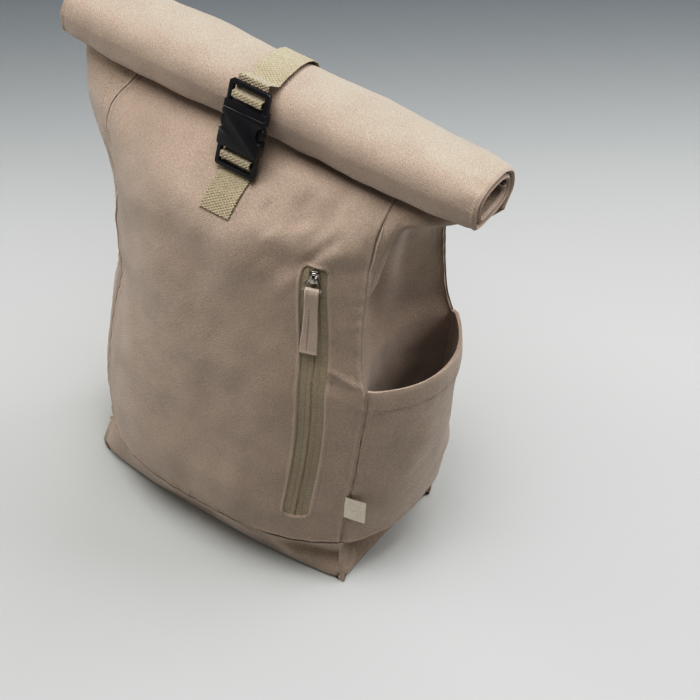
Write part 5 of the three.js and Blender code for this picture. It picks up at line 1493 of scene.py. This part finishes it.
def shoulder_strap(name, side):
    """A padded strap: two faces sewn flat together along both edges, with foam between them."""
    line = smooth_line(shoulder_line(side), 160)

    def relief(u, v, w):
        edge = w / 2 - np.abs(u)
        flat = -3.1 * np.exp(-((edge / 5.5) ** 4))
        groove = -0.5 * hump(edge - 7, 0.9)
        tucks = 0.4 * pucker(v, 3.2, 19, np.abs(edge - 9), 6)
        soft = 0.5 * ripple(u, v, 81, 25, 80) * smoothstep(edge, 8, 18)
        ends = -3.0 * np.exp(-((v / 6) ** 4)) - 3.0 * np.exp(-(((v.max() - v) / 6) ** 4))
        return np.maximum(flat + ends, -3.3) + (groove + tucks + soft)

    # Painted highlight along the strap's rounded edges
    def highlit_and_worn(u, v, w):
        return hump(w / 2 - np.abs(u), 1.6) + v * 0

    piece, line, outs, sides = band(
        f"shoulder_strap_{name}_cloth", line, ACROSS_BAG, shoulder_width, SHOULDER_THICKNESS - 1,
        padded_canvas, f"shoulder_strap_{name}", relief, highlit_and_worn,
        columns=48, spacing=1.6, edge=1.2,
    )
    runs = []
    half = shoulder_width(np.linspace(0, 1, len(line))) / 2 - STRAP_STITCH_INSET
    for across in (-1, 1):
        for face in (-1, 1):
            stand = (SHOULDER_THICKNESS / 2 - 3.2) * face
            run = line + sides * (across * half)[:, None] + outs * stand
            runs.append((run[6:-6], outs[6:-6] * face))
    return runs


def by_adjuster(side):
    """Places measured up and outwards from the foot of a strap's ladder lock."""
    foot = shoulder_line(side)[-1] + np.array([0, 0, -LADDER_LENGTH - ADJUSTER_DROP])
    return lambda rise, off: foot + np.array([0, off, rise])


def adjuster_loop(name, side):
    """Webbing from under a strap's end, round the ladder lock's upper bar."""
    at = by_adjuster(side)
    lift = LADDER_LENGTH + ADJUSTER_DROP
    inside = -SHOULDER_THICKNESS / 2 - LAID_CLEAR - WEBBING_THICKNESS / 2 - PLY_STEP
    slot = LADDER_LENGTH - LADDER_BAR - SLOT_STAND
    points = [
        at(lift + 26, inside - 2), at(lift - 2, inside), at(slot, -BAR_STAND), at(slot, BAR_STAND),
        at(LADDER_LENGTH + SLOT_STAND, BAR_STAND), at(LADDER_LENGTH + SLOT_STAND, -BAR_STAND + 1.2),
        at(lift - 2.4, inside + PLY_STEP + 0.5),
    ]
    webbing_band(f"adjuster_loop_{name}_webbing", points, STRAP_WEBBING_WIDTH, f"adjuster_loop_{name}")


def strap_webbing(name, side):
    """Webbing from the back's foot, up through the ladder lock, with its end hanging."""
    at = by_adjuster(side)
    sewn = [
        on_cloth("back", side * STRAP_ANCHOR * HALF_WIDTH, BAND_HEIGHT + ANCHOR_RISE + rise)
        + AWAY_FROM_BACK * LAID_STAND
        for rise in (0, 9)
    ]
    points = [
        *sewn, sewn[1] + np.array([-side * 2, 15, 12]), at(-6, -BAR_STAND - 1.4),
        at(LOW_MIDDLE_BAR - SLOT_STAND, -BAR_STAND), at(LOW_MIDDLE_BAR - SLOT_STAND, BAR_STAND),
        at(-1, BAR_STAND + 0.2), at(-20, BAR_STAND + 3), at(-STRAP_TAIL, BAR_STAND + 1),
    ]
    webbing_band(f"lower_webbing_{name}", points, STRAP_WEBBING_WIDTH, f"strap_webbing_{name}")


strap_runs = []
for name, side in (("right", 1), ("left", -1)):
    strap_runs += shoulder_strap(name, side)
    adjuster_loop(name, side)
    strap_webbing(name, side)


def grab_handle():
    """Webbing sewn flat at both ends and bowed off the back between them."""
    z = NECK_HEIGHT - HANDLE_DROP
    spots = ((-1, 0), (-0.8, 0), (-0.45, 0.72), (0, 1), (0.45, 0.72), (0.8, 0), (1, 0))
    points = []
    for share, bow in spots:
        foot = on_cloth("back", share * HANDLE_SPAN / 2, z - STRAP_WEBBING_WIDTH / 2)
        stand = LAID_STAND + bow * HANDLE_BOW
        points.append(foot + np.array([0, stand, STRAP_WEBBING_WIDTH / 2]))
    webbing_band(
        "grab_handle_webbing", points, STRAP_WEBBING_WIDTH, "grab_handle", (0, 0, 1), bend=14, steps=8
    )


grab_handle()

# Topstitching


def seam_stitches():
    heights = np.linspace(BODY_BOTTOM + 3, NECK_HEIGHT - 16, 260)
    runs = []
    for panel, edge in (("right", 0), ("right", 1), ("left", 0), ("left", 1)):
        ends = skin(panel, np.array([[0.0], [1.0]]), heights[None, :])[..., 1]
        inset = np.sign(ends[1 - edge] - ends[edge]) * SEAM_STITCH_INSET
        t = panel_t(panel, ends[edge] + inset, heights)
        runs.append(clothed(panel, t, heights))
    for panel in ("front", "back"):
        t = np.linspace(0.01, 0.99, 260)
        runs.append(clothed(panel, t, np.full(260, BODY_BOTTOM + SEAM_STITCH_INSET)))
    stitches("panel_topstitching", runs, sand_thread)


def window_stitches():
    """One row of stitches all round the zip's window, in its turned edge."""
    half_x = ZIP_WINDOW_WIDTH / 2 + WINDOW_STITCH_INSET
    half_z = WINDOW_HEIGHT / 2 + WINDOW_STITCH_INSET
    reach = WINDOW_CORNER + WINDOW_STITCH_INSET
    outline = []
    for sign_x, sign_z, start in ((1, 1, 0), (-1, 1, 90), (-1, -1, 180), (1, -1, 270)):
        for degrees in np.linspace(start, start + 90, 10):
            angle = math.radians(degrees)
            outline.append((
                sign_x * (half_x - reach) + reach * math.cos(angle),
                sign_z * (half_z - reach) + reach * math.sin(angle),
            ))
    outline.append(outline[0])
    outline = evenly(np.array([(x, 0, z) for x, z in outline]), 520)
    z = WINDOW_MIDDLE + outline[:, 2]
    t = panel_t("front", zip_x(z) + outline[:, 0], z)
    stitches("zip_window_topstitching", [front_cloth(t, z)], sand_thread, pitch=3.2)


seam_stitches()
window_stitches()
stitches("pocket_topstitching", pocket_runs, sand_thread)
stitches("roll_end_topstitching", roll_runs, sand_thread)
stitches("zip_tape_stitching", zip_runs, shade_thread, pitch=2.6, thread=0.3)
stitches("zip_pull_stitching", tab_runs, shade_thread, pitch=3.0, thread=0.32)
stitches("pad_quilting", pad_runs, sand_thread)
stitches("shoulder_strap_topstitching", strap_runs, sand_thread)

# The floor, the light and the camera


def studio():
    bpy.ops.mesh.primitive_plane_add(size=12)
    floor = bpy.context.object
    floor.name = "studio_floor"
    floor.location = (0, 0, -0.0004)
    paint, tree, shader = new_material("matt_studio_floor", 0.8, 0.2)
    place = add_node(tree, "ShaderNodeTexCoord").outputs["Object"]
    mottle = add_node(tree, "ShaderNodeTexNoise", inputs={"Vector": place, "Scale": 1.2}).outputs["Fac"]
    greys = {0: mottle, 6: linear("#bfc0bd"), 7: linear("#c3c4c1")}
    mix = add_node(tree, "ShaderNodeMix", COLOURS, greys)
    # Painted shade: the floor darkens towards its far end, most of all on the left, where the light falls
    # off
    turned = {"Rotation": (0, 0, math.radians(-40))}
    away = add_node(tree, "ShaderNodeMapping", inputs={"Vector": place, **turned}).outputs[0]
    away = add_node(tree, "ShaderNodeSeparateXYZ", inputs={0: away}).outputs[1]
    reach = {"From Min": 0.1, "From Max": 0.95}
    away = add_node(
        tree, "ShaderNodeMapRange", {"interpolation_type": "SMOOTHSTEP"}, {"Value": away, **reach}
    ).outputs[0]
    far = {0: away, 6: mix.outputs[2], 7: linear("#5f6569")}
    far = add_node(tree, "ShaderNodeMix", COLOURS, far).outputs[2]
    tree.links.new(far, shader.inputs["Base Color"])
    floor.data.materials.append(paint)

    world = bpy.data.worlds.new("studio")
    bpy.context.scene.world = world
    world.use_nodes = True
    background = world.node_tree.nodes["Background"]
    background.inputs["Color"].default_value = linear("#f0e8de")
    background.inputs["Strength"].default_value = 0.04

    # Square softboxes: place, the height that each one faces, side, watts and colour
    for name, place, aim, size, power, colour in (
        ("overhead_softbox", (0.0, -0.45, 1.96), 0.2, 1.1, 28, "#fbfcff"),
        ("front_right_softbox", (0.9, -1.1, 1.6), 0.2, 1.1, 3, "#fbfcff"),
        ("back_softbox", (0.0, 1.0, 1.9), 0.2, 1.6, 17, "#fdfdff"),
        ("left_softbox", (-1.9, -0.7, 0.7), 0.25, 1.2, 15, "#fffdf8"),
        ("back_right_softbox", (1.2, 1.2, 1.5), 0.2, 1.4, 22, "#fbfcff"),
    ):
        lamp = bpy.data.lights.new(name, "AREA")
        lamp.shape = "SQUARE"
        lamp.size = size
        lamp.energy = power
        lamp.color = linear(colour)[:3]
        light = bpy.data.objects.new(name, lamp)
        light.location = place
        faced = Vector((0, 0, aim)) - Vector(place)
        light.rotation_euler = faced.to_track_quat("-Z", "Y").to_euler()
        bpy.context.scene.collection.objects.link(light)


def camera():
    """A long lens above the bag's right front, rolled a little."""
    turn, rise, roll = (math.radians(degrees) for degrees in (32.554, 43.475, 3.851))
    target = Vector((0.0834, 0, 0.2029))
    distance = 2.3
    back = Vector((math.sin(turn) * math.cos(rise), -math.cos(turn) * math.cos(rise), math.sin(rise)))
    right = Vector((math.cos(turn), math.sin(turn), 0))
    up = back.cross(right)
    across = right * math.cos(roll) + up * math.sin(roll)
    upright = up * math.cos(roll) - right * math.sin(roll)
    lens = bpy.data.cameras.new("camera")
    lens.sensor_width = 36
    lens.lens = 134.62
    lens.clip_end = 20
    shot = bpy.data.objects.new("camera", lens)
    turned = Matrix((across, upright, back)).transposed().to_4x4()
    shot.matrix_world = Matrix.Translation(target + back * distance) @ turned
    bpy.context.scene.collection.objects.link(shot)
    bpy.context.scene.camera = shot


studio()
camera()


# The grey that each grey is shown as: darker shades and paler lights
TONES = {
    "#3c3c3c": "#2a2a2a",
    "#5a5a5a": "#4b4b4b",
    "#757575": "#6c6c6c",
    "#919191": "#909090",
    "#b2b2b2": "#bbbbbb",
    "#c3c3c3": "#cfcfcf",
    "#d9d9d9": "#dedede",
}


def tone_curve():
    """The picture's contrast, as a camera develops it."""
    view = bpy.context.scene.view_settings
    view.view_transform = "Standard"
    view.use_curve_mapping = True
    for shade, shown in TONES.items():
        view.curve_mapping.curves[3].points.new(linear(shade)[0], linear(shown)[0])
    view.curve_mapping.update()


tone_curve()

bpy.context.view_layer.update()
